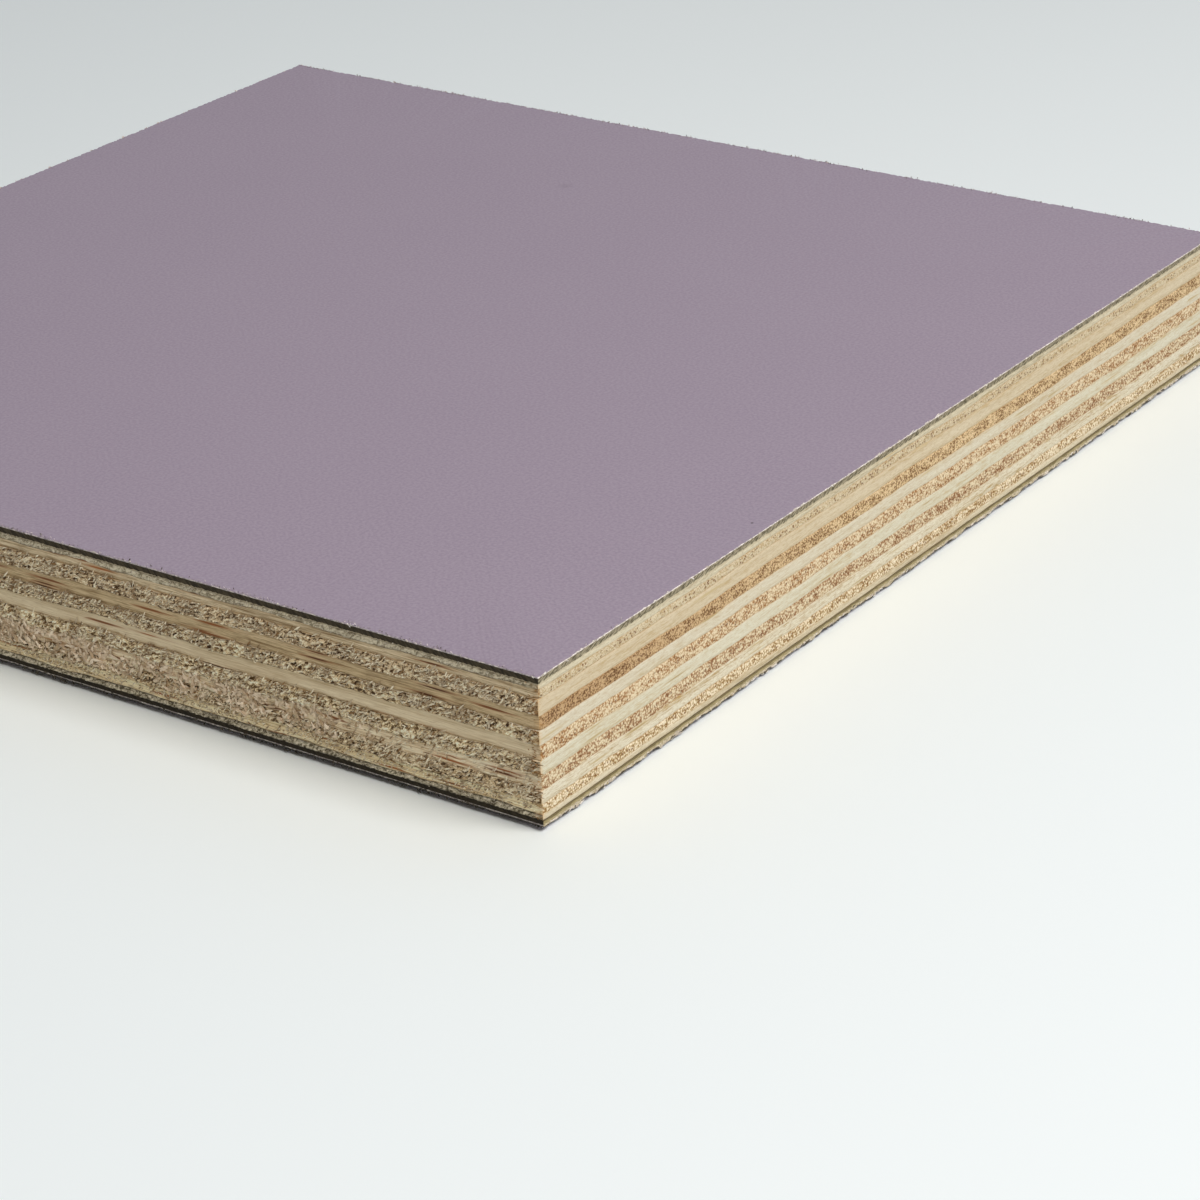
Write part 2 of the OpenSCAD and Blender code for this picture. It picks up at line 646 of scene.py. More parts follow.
@dataclass(frozen=True)
class SawnRelief:
    """Geometry Nodes that tear, streak and groove the four sides of a veneer as the saw and the glue do."""

    def tree(self) -> NodeTree:
        """Build the tree.

        Returns:
            Tree whose inputs give the sizes of the marks in metres, and the groove's width in millimetres.
        """
        tree, given = start_tree("sawn_relief", {
            "Tear depth": "Float", "Clump size": "Vector", "Slant": "Float", "Streak depth": "Float",
            "Streak size": "Vector", "Groove depth": "Float", "Groove width": "Float", "Wave below": "Float",
            "Wave above": "Float", "Proud": "Float", "Corner wear": "Float", "Underside": "Float",
            "Upper side": "Float", "Seed": "Float"})
        read = {name: add(tree, "GeometryNodeInputNamedAttribute", {"Name": name}, data_type=kind)
                for name, kind in (("outward", "FLOAT_VECTOR"), ("rise", "FLOAT"), ("on_side", "FLOAT"),
                                   ("end_grain", "FLOAT"), ("glue_mm", "FLOAT"), ("corner_mm", "FLOAT"),
                                   ("end_facing", "FLOAT_VECTOR"))}
        axes = add(tree, "SeparateXYZ", [add(tree, "GeometryNodeInputPosition")])
        facing = add(tree, "SeparateXYZ", [read["outward"]])
        faces_x = add(tree, "Math", [facing], operation="ABSOLUTE")
        along = add(tree, "Mix", {0: faces_x, 2: axes.outputs["X"], 3: axes.outputs["Y"]}, data_type="FLOAT")
        flat = add(tree, "CombineXYZ", [along, axes.outputs["Z"]])
        # The seed moves the pattern along, so that no two plies match
        shifted = add(tree, "VectorMath", [flat, given["Seed"]], operation="ADD")
        back = add(tree, "Math", [given["Slant"], -1.0], operation="MULTIPLY")
        turned = add(tree, "VectorRotate", {"Vector": shifted, "Angle": back}, rotation_type="Z_AXIS")
        clumps = add(tree, "VectorMath", [turned, given["Clump size"]], operation="DIVIDE")
        tear = add(tree, "TexNoise",
                   {"Vector": clumps, "Scale": 1.0, "Detail": 2.5, "Roughness": 0.6, "Distortion": 0.9},
                   noise_dimensions="2D")
        torn = add(tree, "MapRange", [tear, 0.3, 0.7, -1.0, 1.0])
        streaks = add(tree, "VectorMath", [shifted, given["Streak size"]], operation="DIVIDE")
        streak = add(tree, "TexNoise", {"Vector": streaks, "Scale": 1.0, "Detail": 2.0},
                     noise_dimensions="2D")
        streaked = add(tree, "MapRange", [streak, 0.3, 0.7, -1.0, 1.0])
        relief = add(tree, "Mix", {0: read["end_grain"], 2: streaked, 3: torn}, data_type="FLOAT")
        depth = add(tree, "Mix", {0: read["end_grain"], 2: given["Streak depth"], 3: given["Tear depth"]},
                    data_type="FLOAT")
        groove = add(tree, "MapRange",
                     [read["glue_mm"], 0.0, given["Groove width"], given["Groove depth"], 0.0])
        cut = add(tree, "Math", [relief, depth], operation="MULTIPLY")
        lined = add(tree, "Math", [cut, groove], operation="SUBTRACT")
        upright = add(tree, "Math", [axes.outputs["Z"], 1 / (0.6 * MM), given["Seed"]],
                      operation="MULTIPLY_ADD")
        broken = add(tree, "TexNoise", {"W": upright, "Scale": 1.0, "Detail": 2.0}, noise_dimensions="1D")
        near = add(tree, "MapRange", [read["corner_mm"], 0.0, 0.7, given["Corner wear"], 0.0])
        worn = add(tree, "MapRange", [broken, 0.3, 0.7, 0.0, near])
        sunk = add(tree, "Math", [lined, worn], operation="SUBTRACT")
        # Plies that meet share one wavy line, because both read the same noise at the height of their joint
        waves = []
        for height, swing in (("Underside", "Wave below"), ("Upper side", "Wave above")):
            joint = add(tree, "CombineXYZ", [axes.outputs["X"], axes.outputs["Y"], given[height]])
            wave = add(tree, "TexNoise", {"Vector": joint, "Scale": 110.0, "Detail": 3.0})
            centred = add(tree, "Math", [wave, 0.5], operation="SUBTRACT")
            waves.append(add(tree, "Math", [centred, given[swing]], operation="MULTIPLY"))
        wavy = add(tree, "Mix", {0: read["rise"], 2: waves[0], 3: waves[1]}, data_type="FLOAT")
        # The saw pulled the lines about less on the X sides, and the corners join the two
        wide = add(tree, "MapRange", [read["corner_mm"], 0.0, 8.0, 0.5, 1.0])
        calm = add(tree, "Mix", {0: faces_x, 2: wide, 3: 0.5}, data_type="FLOAT")
        lift = add(tree, "Math", [wavy, calm], operation="MULTIPLY")
        out = add(tree, "VectorMath", {0: read["outward"], "Scale": sunk.outputs[0]}, operation="SCALE")
        up = add(tree, "CombineXYZ", {2: lift})
        bulge = add(tree, "VectorMath", [read["end_facing"], given["Proud"], out], operation="MULTIPLY_ADD")
        both = add(tree, "VectorMath", [bulge, up], operation="ADD")
        offset = add(tree, "VectorMath", {0: both, "Scale": read["on_side"].outputs[0]}, operation="SCALE")
        kept = add(tree, "GeometryNodeStoreNamedAttribute",
                   {"Geometry": given["Geometry"], "Name": "relief", "Value": relief}, data_type="FLOAT",
                   domain="POINT")
        moved = add(tree, "GeometryNodeSetPosition", {"Geometry": kept, "Offset": offset})
        add(tree, "NodeGroupOutput", [moved])
        return tree


@dataclass(frozen=True)
class ChippedArris:
    """Geometry Nodes that bite chips out of the decor edge of a laminate and ripple its sawn sides."""

    def tree(self) -> NodeTree:
        """Build the tree.

        Returns:
            Tree whose inputs give the sizes of the chips in metres.
        """
        tree, given = start_tree("chipped_arris", {
            "Chip depth": "Float", "Chip length": "Float", "Ripple depth": "Float", "Ripple length": "Float",
            "Lip depth": "Float", "Lip length": "Float", "Face": "Float", "Seed": "Float"})
        read = {name: add(tree, "GeometryNodeInputNamedAttribute", {"Name": name}, data_type=kind)
                for name, kind in (("outward", "FLOAT_VECTOR"), ("arris", "FLOAT"), ("on_side", "FLOAT"),
                                   ("hanging", "FLOAT"))}
        place = add(tree, "VectorMath", [add(tree, "GeometryNodeInputPosition"), given["Seed"]],
                    operation="ADD")
        bites = add(tree, "VectorMath", [place, given["Chip length"]], operation="DIVIDE")
        bite = add(tree, "TexNoise", {"Vector": bites, "Scale": 1.0, "Detail": 2.0, "Roughness": 0.7})
        size = add(tree, "MapRange", [bite, 0.48, 0.68, 0.0, 1.0])
        chip = add(tree, "Math", [size, read["arris"]], operation="MULTIPLY")
        ripples = add(tree, "VectorMath", [place, given["Ripple length"]], operation="DIVIDE")
        ripple = add(tree, "TexNoise", {"Vector": ripples, "Scale": 1.0, "Detail": 2.0})
        swing = add(tree, "MapRange", [ripple, 0.3, 0.7, -1.0, 1.0])
        rippled = add(tree, "Math", [swing, given["Ripple depth"]], operation="MULTIPLY")
        bitten = add(tree, "Math", [chip, given["Chip depth"]], operation="MULTIPLY")
        inward = add(tree, "Math", [rippled, bitten], operation="SUBTRACT")
        sideways = add(tree, "Math", [inward, read["on_side"]], operation="MULTIPLY")
        out = add(tree, "VectorMath", {0: read["outward"], "Scale": sideways.outputs[0]}, operation="SCALE")
        fall = add(tree, "Math", [bitten, given["Face"]], operation="MULTIPLY")
        lengths = add(tree, "VectorMath", [place, given["Lip length"]], operation="DIVIDE")
        ragged = add(tree, "TexNoise", {"Vector": lengths, "Scale": 1.0, "Detail": 3.0})
        drop = add(tree, "MapRange", [ragged, 0.35, 0.6, 0.0, given["Lip depth"]])
        edge = add(tree, "Math", [read["arris"], read["hanging"]], operation="MULTIPLY")
        lip = add(tree, "Math", [drop, edge], operation="MULTIPLY")
        hung = add(tree, "Math", [lip, given["Face"]], operation="MULTIPLY")
        sunk = add(tree, "Math", [fall, -0.6, hung], operation="MULTIPLY_ADD")
        offset = add(tree, "VectorMath", [out, add(tree, "CombineXYZ", {2: sunk})], operation="ADD")
        kept = add(tree, "GeometryNodeStoreNamedAttribute",
                   {"Geometry": given["Geometry"], "Name": "chip", "Value": chip}, data_type="FLOAT",
                   domain="POINT")
        moved = add(tree, "GeometryNodeSetPosition", {"Geometry": kept, "Offset": offset})
        add(tree, "NodeGroupOutput", [moved])
        return tree


@dataclass(frozen=True)
class LooseBits:
    """Geometry Nodes that scatter curved fibres or flakes over the part of a piece that an attribute marks.

    Attributes:
        name: Name of the tree.
        bows: Middle and end of each strand that the tree picks from, in lengths, widths and thicknesses.
        sides: Sides of a strand's section.
        segments: Lengths that a strand is divided into.
    """

    name: str = "loose_bits"
    bows: tuple[tuple[tuple[float, float, float], tuple[float, float, float]], ...] = (
        ((0.5, 1.3, 1.0), (0.9, 0.3, -0.2)), ((0.55, -1.1, 0.9), (0.95, 0.5, 0.3)),
        ((0.4, 0.6, 1.5), (0.85, -0.9, -0.4)))
    sides: int = 3
    segments: int = 2

    def strands(self, tree: NodeTree) -> Node:
        """Add the strands that the tree picks from, each tapered at both ends.

        Args:
            tree: Tree that takes the nodes.

        Returns:
            Node that gives one instance of each strand.
        """
        factor = add(tree, "GeometryNodeSplineParameter").outputs["Factor"]
        ring = add(tree, "GeometryNodeCurvePrimitiveCircle", {0: self.sides, "Radius": 0.5})
        wrapped = add(tree, "GeometryNodeStoreNamedAttribute",
                      {"Geometry": ring, "Name": "wrap", "Value": factor}, data_type="FLOAT", domain="POINT")
        belly = add(tree, "MapRange", [factor, 0.0, 1.0, 0.8, 2.6])
        radius = add(tree, "Math", [belly], operation="SINE")
        joined = add(tree, "GeometryNodeGeometryToInstance")
        for middle, end in self.bows:
            bow = add(tree, "GeometryNodeCurveQuadraticBezier", [8, (0.0, 0.0, -0.6), middle, end])
            coarse = add(tree, "GeometryNodeResampleCurve", {"Curve": bow, "Count": self.segments + 1})
            marked = add(tree, "GeometryNodeStoreNamedAttribute",
                         {"Geometry": coarse, "Name": "strand", "Value": factor}, data_type="FLOAT",
                         domain="POINT")
            tapered = add(tree, "GeometryNodeSetCurveRadius", {"Curve": marked, "Radius": radius})
            tube = add(tree, "GeometryNodeCurveToMesh",
                       {"Curve": tapered, "Profile Curve": wrapped, "Fill Caps": True})
            tree.links.new(tube.outputs[0], joined.inputs[0])
        return joined

    def tree(self) -> NodeTree:
        """Build the tree.

        Returns:
            Tree whose inputs give the sizes of the bits in metres and how many lie on a square metre.
        """
        tree, given = start_tree(self.name, {
            "Where": "String", "Density": "Float", "Patch": "Float", "Size": "Vector", "Slant": "Float",
            "Spread": "Float", "Lift": "Float", "Strip": "Float", "Seed": "Int", "Material": "Material"})
        where = add(tree, "GeometryNodeInputNamedAttribute", {"Name": given["Where"]}, data_type="FLOAT")
        spot = add(tree, "VectorMath", [add(tree, "GeometryNodeInputPosition"), given["Patch"]],
                   operation="DIVIDE")
        patch = add(tree, "TexNoise", {"Vector": spot, "Scale": 1.0, "Detail": 1.0})
        thick = add(tree, "MapRange", [patch, 0.38, 0.62, 0.15, 1.85])
        marked = add(tree, "Math", [where, thick], operation="MULTIPLY")
        density = add(tree, "Math", [marked, given["Density"]], operation="MULTIPLY")
        sawn = add(tree, "GeometryNodeInputNamedAttribute", {"Name": "sawn"}, data_type="BOOLEAN")
        points = add(tree, "GeometryNodeDistributePointsOnFaces",
                     {"Mesh": given["Geometry"], "Selection": sawn, "Density": density,
                      "Seed": given["Seed"]})
        draw = {}
        for number, name in enumerate(("spin", "lift", "length", "girth", "tone", "kind")):
            seed = add(tree, "Math", [given["Seed"], float(number + 1)], operation="ADD")
            draw[name] = add(tree, "FunctionNodeRandomValue", {2: 0.0, 3: 1.0, "Seed": seed},
                             data_type="FLOAT").outputs[1]
        outward = add(tree, "GeometryNodeInputNamedAttribute", {"Name": "outward"}, data_type="FLOAT_VECTOR")
        along = add(tree, "VectorMath", [(0.0, 0.0, 1.0), outward], operation="CROSS_PRODUCT")
        stand = add(tree, "FunctionNodeAxesToRotation", {"Primary Axis": outward, "Secondary Axis": along},
                    primary_axis="Z", secondary_axis="X")
        sway = add(tree, "MapRange", [draw["spin"], 0.0, 1.0, -1.0, 1.0])
        spin = add(tree, "Math", [sway, given["Spread"], given["Slant"]], operation="MULTIPLY_ADD")
        tip = add(tree, "MapRange", [draw["lift"], 0.0, 1.0, 0.15, -1.0])
        tilt = add(tree, "Math", [tip, given["Lift"]], operation="MULTIPLY")
        euler = add(tree, "CombineXYZ", {1: tilt, 2: spin})
        turned = add(tree, "FunctionNodeRotateRotation",
                     {"Rotation": stand, "Rotate By": add(tree, "FunctionNodeEulerToRotation", [euler])},
                     rotation_space="LOCAL")
        # A few bits are much longer than the rest
        rare = add(tree, "Math", [draw["length"], 3.0], operation="POWER")
        length = add(tree, "MapRange", [rare, 0.0, 1.0, 0.6, 2.0])
        girth = add(tree, "MapRange", [draw["girth"], 0.0, 1.0, 0.7, 1.4])
        scale = add(tree, "VectorMath", [given["Size"], add(tree, "CombineXYZ", [length, girth, girth])],
                    operation="MULTIPLY")
        kind = add(tree, "Math", [draw["kind"], float(len(self.bows))], operation="MULTIPLY")
        bits = add(tree, "GeometryNodeInstanceOnPoints",
                   {"Points": points, "Instance": self.strands(tree), "Pick Instance": True,
                    "Instance Index": add(tree, "Math", [kind], operation="FLOOR"), "Rotation": turned,
                    "Scale": scale})
        toned = add(tree, "GeometryNodeStoreNamedAttribute",
                    {"Geometry": bits, "Name": "tone", "Value": draw["tone"]}, data_type="FLOAT",
                    domain="INSTANCE")
        real = add(tree, "GeometryNodeRealizeInstances", {"Geometry": toned})
        mapped = add(tree, "GeometryNodeStoreNamedAttribute",
                     {"Geometry": real, "Name": BAKE_MAP, "Value": self.strip(tree, given["Strip"])},
                     data_type="FLOAT2", domain="CORNER")
        dressed = add(tree, "GeometryNodeSetMaterial", {"Geometry": mapped, "Material": given["Material"]})
        whole = add(tree, "GeometryNodeJoinGeometry", [dressed])
        tree.links.new(given["Geometry"], whole.inputs[0])
        add(tree, "NodeGroupOutput", [whole])
        return tree

    def strip(self, tree: NodeTree, low: NodeSocket) -> Node:
        """Add the place of each bit in a strip of the bake map, which bits of one tone share.

        Args:
            tree: Tree that takes the nodes.
            low: Lower edge of the strip.

        Returns:
            Node whose first output is the place in the map.
        """
        read = {name: add(tree, "GeometryNodeInputNamedAttribute", {"Name": name}, data_type="FLOAT")
                for name in ("tone", "strand", "wrap")}
        place = add(tree, "Math", [read["strand"], 0.006, read["tone"]], operation="MULTIPLY_ADD")
        across = add(tree, "MapRange", [place, 0.0, 1.0, 0.01, 0.98])
        up = add(tree, "Math", [read["wrap"], 0.02, low], operation="MULTIPLY_ADD")
        return add(tree, "CombineXYZ", [across, up])


@dataclass(frozen=True)
class Scatter:
    """How one kind of loose bit lies on a sheet.

    Attributes:
        bit: Kind of bit, which gives its material.
        where: Attribute that marks where the bits lie.
        density: How many lie on a square metre that is fully marked.
        patch: Width of a patch where they lie thicker or thinner.
        size: Length, width and thickness of a common bit.
        slant: Angle from the run of the side to the bits, in degrees.
        spread: How far a bit turns either way from that angle at most, in degrees.
        lift: How far a bit lifts off the side at most, in degrees.
        strip: Strip of the bake map that the bits share.
        seed: Seed of their places, turns, sizes and tones.
    """

    bit: Bit
    where: str
    density: float
    patch: float
    size: tuple[float, float, float]
    slant: float
    spread: float
    lift: float
    strip: Strip
    seed: int

    def values(self, loose: dict[Bit, Material]) -> dict[str, Any]:
        """Give the inputs of the tree that scatters the bits.

        Args:
            loose: Material of each kind of loose bit.

        Returns:
            Value of each named input.
        """
        return {"Where": self.where, "Density": self.density, "Patch": self.patch, "Size": self.size,
                "Slant": math.radians(self.slant), "Spread": math.radians(self.spread),
                "Lift": math.radians(self.lift), "Strip": self.strip.value, "Seed": self.seed,
                "Material": loose[self.bit]}


@dataclass
class SawnSheet:
    """A flat sheet whose four sawn sides are meshed finely enough to carry relief.

    Attributes:
        node: CAD node that the sheet replaces.
        slot: Material slot of the record; not used.
        step_along_x: Width of a column of faces on the sides that run along X.
        step_along_y: Width of a column of faces on the sides that run along Y.
        row: Height of a row of faces on the sides.
        shoulder: Width of a flat ring between the sides and the caps, or 0 for none.
    """

    node: str
    slot: str
    step_along_x: float = 0.3 * MM
    step_along_y: float = 0.3 * MM
    row: float = 0.21 * MM
    shoulder: float = 0.0

    def __post_init__(self) -> None:
        """Read the sheet's place from the frame."""
        self.low, self.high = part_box(self.node)
        self.thickness = self.high.z - self.low.z

    def levels(self) -> np.ndarray:
        """Heights of the rows of the sides, from 0 at the underside to 1 at the upper side."""
        return np.linspace(0.0, 1.0, max(3, round(self.thickness / self.row)) + 1)

    def bake_areas(self) -> tuple[tuple[float, float], Square, Square]:
        """Give the parts of the bake map: the span of the sides, and a square for each cap.

        Returns:
            Lowest and highest place of the sides, then left, bottom and size of the upper and the lower cap.
        """
        return (0.0, 0.86), (0.0, 0.865, 0.05), (0.1, 0.865, 0.05)

    def outline(self) -> tuple[np.ndarray, np.ndarray, np.ndarray, np.ndarray]:
        """Walk round the sheet, column by column.

        Returns:
            Place of each column, its outward direction, the side that it starts, and how far along it is.
        """
        corners = np.array([(self.low.x, self.low.y), (self.high.x, self.low.y),
                            (self.high.x, self.high.y), (self.low.x, self.high.y)])
        normals = np.array([(0.0, -1.0), (1.0, 0.0), (0.0, 1.0), (-1.0, 0.0)])
        places, outward, sides, shares = [], [], [], []
        for side in range(4):
            span = corners[(side + 1) % 4] - corners[side]
            step = self.step_along_x if side % 2 == 0 else self.step_along_y
            count = round(float(np.abs(span).sum()) / step)
            share = np.arange(count) / count
            facing = np.tile(normals[side], (count, 1))
            facing[0] += normals[side - 1]
            places.append(corners[side] + share[:, None] * span)
            outward.append(facing)
            sides.append(np.full(count, side))
            shares.append(share)
        return np.vstack(places), np.vstack(outward), np.concatenate(sides), np.concatenate(shares)

    def mesh(self) -> Mesh:
        """Build the closed mesh with its bake map and its attributes.

        Returns:
            Mesh whose faces have material 0 on the X sides, 1 on the Y sides and 2 on the caps.
        """
        places, outward, sides, shares = self.outline()
        levels = self.levels()
        columns, rows = len(places), len(levels) - 1
        heights = self.low.z + levels * self.thickness
        wall = np.concatenate([np.column_stack([places, np.full(columns, z)]) for z in heights])
        inner = places * (1 - self.shoulder / self.high.x)
        rings = [np.column_stack([inner, np.full(columns, z)]) for z in (self.low.z, self.high.z)]
        # Each cap closes in a fan from its rim to a small square at its middle
        half = 0.25 * (self.high.x - self.low.x)
        core = np.array([(-half, -half), (half, -half), (half, half), (-half, half)])
        cores = [np.column_stack([core, np.full(4, z)]) for z in (self.low.z, self.high.z)]
        points = np.vstack([wall, *(rings if self.shoulder else []), *cores])
        here = np.arange(columns)
        after = (here + 1) % columns
        first_core = len(points) - 8
        low_rim, high_rim = 0, rows * columns
        quads = [np.column_stack([r * columns + here, r * columns + after,
                                  (r + 1) * columns + after, (r + 1) * columns + here]) for r in range(rows)]
        if self.shoulder:
            low_ring, high_ring = (rows + 1) * columns, (rows + 2) * columns
            for start, end in ((low_ring, low_rim), (high_rim, high_ring)):
                quads.append(np.column_stack([start + here, start + after, end + after, end + here]))
            low_rim, high_rim = low_ring, high_ring
        hub = np.where(shares < 0.5, sides, (sides + 1) % 4)
        fans = []
        for rim, first, upward in ((low_rim, first_core, False), (high_rim, first_core + 4, True)):
            fan = np.column_stack([rim + here, rim + after, first + hub])
            # Where the hub changes between two columns, one more triangle joins the two hubs
            turn = np.nonzero(hub != hub[after])[0]
            link = np.column_stack([rim + after[turn], first + hub[after[turn]], first + hub[turn]])
            whole = np.vstack([fan, link])
            fans.append(whole if upward else whole[:, ::-1])
        squares = [[first_core + k for k in (3, 2, 1, 0)], [first_core + 4 + k for k in range(4)]]
        faces = np.vstack(quads).tolist() + np.vstack(fans).tolist() + squares
        mesh = bpy.data.meshes.new(self.node)
        mesh.from_pydata(points.tolist(), [], faces, shade_flat=False)
        wall_faces = rows * columns
        material = np.full(len(faces), 2)
        material[:wall_faces] = np.tile(np.where(sides % 2 == 1, 0, 1), rows)
        mesh.polygons.foreach_set("material_index", material.astype(np.int32))
        mesh.attributes.new("sawn", "BOOLEAN", "FACE").data.foreach_set("value", material < 2)
        self.lay_bake_map(mesh, points, columns, rows, sides, shares, levels)
        self.mark(mesh, outward, columns, rows, levels, places, sides)
        return mesh

    def lay_bake_map(self, mesh: Mesh, points: np.ndarray, columns: int, rows: int,
                     sides: np.ndarray, shares: np.ndarray, levels: np.ndarray) -> None:
        """Fold the four sides into rows of the bake map and lay the caps beside them.

        Args:
            mesh: Mesh that gets the map.
            points: Places of its points.
            columns: Number of columns round the sheet.
            rows: Number of rows up its sides.
            sides: Side that each column starts.
            shares: How far along its side each column is.
            levels: Heights of the rows, from 0 to 1.
        """
        (side_low, side_high), top_box, bottom_box = self.bake_areas()
        span = side_high - side_low
        length = self.high.x - self.low.x
        # With this many folds the map keeps the proportions of the sides, with room between the strips
        folds = max(1, round(math.sqrt(span * length / (4.6 * self.thickness))))
        margin = 0.06
        counts = np.bincount(sides)[sides]
        piece = np.minimum(np.floor(shares * folds), folds - 1)
        left = shares * folds - piece
        right = left + folds / counts
        strip = (sides * folds + piece + margin) / (4 * folds)
        tall = (1 - 2 * margin) / (4 * folds)
        uv = np.zeros((len(mesh.loops), 2))
        for r in range(rows):
            low = side_low + span * (strip + tall * levels[r])
            high = side_low + span * (strip + tall * levels[r + 1])
            block = np.stack([np.column_stack([left, low]), np.column_stack([right, low]),
                              np.column_stack([right, high]), np.column_stack([left, high])], axis=1)
            uv[r * columns * 4:(r + 1) * columns * 4] = block.reshape(-1, 2)
        corners = np.zeros(len(mesh.loops), np.int32)
        mesh.loops.foreach_get("vertex_index", corners)
        rest = np.arange(rows * columns * 4, len(corners))
        spots = points[corners[rest]]
        upper = spots[:, 2] > (self.low.z + self.high.z) / 2
        flat = (spots[:, :2] - np.array(self.low[:2])) / length
        for chosen, (x, y, size) in ((upper, top_box), (~upper, bottom_box)):
            uv[rest[chosen]] = np.array((x, y)) + flat[chosen] * size
        mesh.uv_layers.new(name=BAKE_MAP).data.foreach_set("uv", uv.ravel())

    def mark(self, mesh: Mesh, outward: np.ndarray, columns: int, rows: int, levels: np.ndarray,
             places: np.ndarray, sides: np.ndarray) -> None:
        """Give the points the attributes that the trees and the materials read.

        Args:
            mesh: Mesh that gets the attributes.
            outward: Outward direction of each column.
            columns: Number of columns round the sheet.
            rows: Number of rows up its sides.
            levels: Heights of the rows, from 0 to 1.
            places: Place of each column.
            sides: Side that each column starts.
        """
        count = len(mesh.vertices)
        wall = (rows + 1) * columns
        facing = np.zeros((count, 3))
        facing[:wall, :2] = np.tile(outward, (rows + 1, 1))
        rise = np.zeros(count)
        rise[:wall] = np.repeat(levels, columns)
        on_side = np.zeros(count)
        on_side[:wall] = 1.0
        # The points of the caps count as far from every joint and corner
        glue = np.full(count, 9.0)
        glue[:wall] = np.repeat(np.minimum(levels, 1 - levels) * self.thickness / MM, columns)
        along_x = np.isin(sides, (0, 2))
        reach = np.where(along_x, np.abs(places[:, 0]), np.abs(places[:, 1]))
        corner = np.full(count, 99.0)
        corner[:wall] = np.tile((self.high.x - reach) / MM, rows + 1)
        entered = np.where(along_x, self.high.x - places[:, 0], places[:, 1] - self.low.y) / MM
        entry = np.full(count, 99.0)
        entry[:wall] = np.tile(entered, rows + 1)
        ends = np.zeros((count, 3))
        axis = self.end_axis().value
        reach = places[:, axis] / self.high.x
        ends[:wall, axis] = np.tile(np.where(np.abs(reach) > 1 - 1e-6, reach, 0.0), rows + 1)
        mesh.attributes.new("outward", "FLOAT_VECTOR", "POINT").data.foreach_set("vector", facing.ravel())
        mesh.attributes.new("end_facing", "FLOAT_VECTOR", "POINT").data.foreach_set("vector", ends.ravel())
        marks = {"rise": rise, "on_side": on_side, "glue_mm": glue, "corner_mm": corner, "entry_mm": entry}
        marks.update(self.own_marks(np.tile(along_x, rows + 1), rise[:wall], corner[:wall], count))
        for name, values in marks.items():
            mesh.attributes.new(name, "FLOAT", "POINT").data.foreach_set("value", values)

    def own_marks(self, along_x: np.ndarray, rise: np.ndarray, corner: np.ndarray,
                  count: int) -> dict[str, np.ndarray]:
        """Give the attributes of one kind of sheet; a plain sheet has none."""
        return {}

    def end_axis(self) -> Run:
        """Axis that the end grain faces along, which is Y for a plain sheet."""
        return Run.Y

    def place(self, materials: list[Material]) -> Object:
        """Put the bare sheet in the scene.

        Args:
            materials: Materials of the X sides, the Y sides and the caps, then any more.

        Returns:
            The new object.
        """
        mesh = self.mesh()
        for material in materials:
            mesh.materials.append(material)
        piece = bpy.data.objects.new(self.node + ".sawn", mesh)
        bpy.context.scene.collection.objects.link(piece)
        return piece

    def strew(self, piece: Object, scatters: tuple[Scatter, ...], trees: dict[Bit, NodeTree],
              loose: dict[Bit, Material]) -> None:
        """Scatter loose bits over the piece, one kind after another.

        Args:
            piece: Piece that gets the bits.
            scatters: How each kind of bit lies on it.
            trees: Tree that scatters each kind of bit.
            loose: Material of each kind of bit.
        """
        for scatter in scatters:
            run_tree(piece, trees[scatter.bit], scatter.values(loose))

    def hand_over(self, piece: Object) -> Object:
        """Sharpen the corners and tell the frame what the piece is.

        Args:
            piece: Finished piece.

        Returns:
            The same piece.
        """
        # Joining the loose bits leaves an empty slot
        for number in reversed(range(len(piece.data.materials))):
            if piece.data.materials[number] is None:
                piece.data.materials.pop(index=number)
        piece.data.set_sharp_from_angle(angle=SHARP_TURN)
        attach(piece, BODY)
        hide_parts(self.node)
        return piece


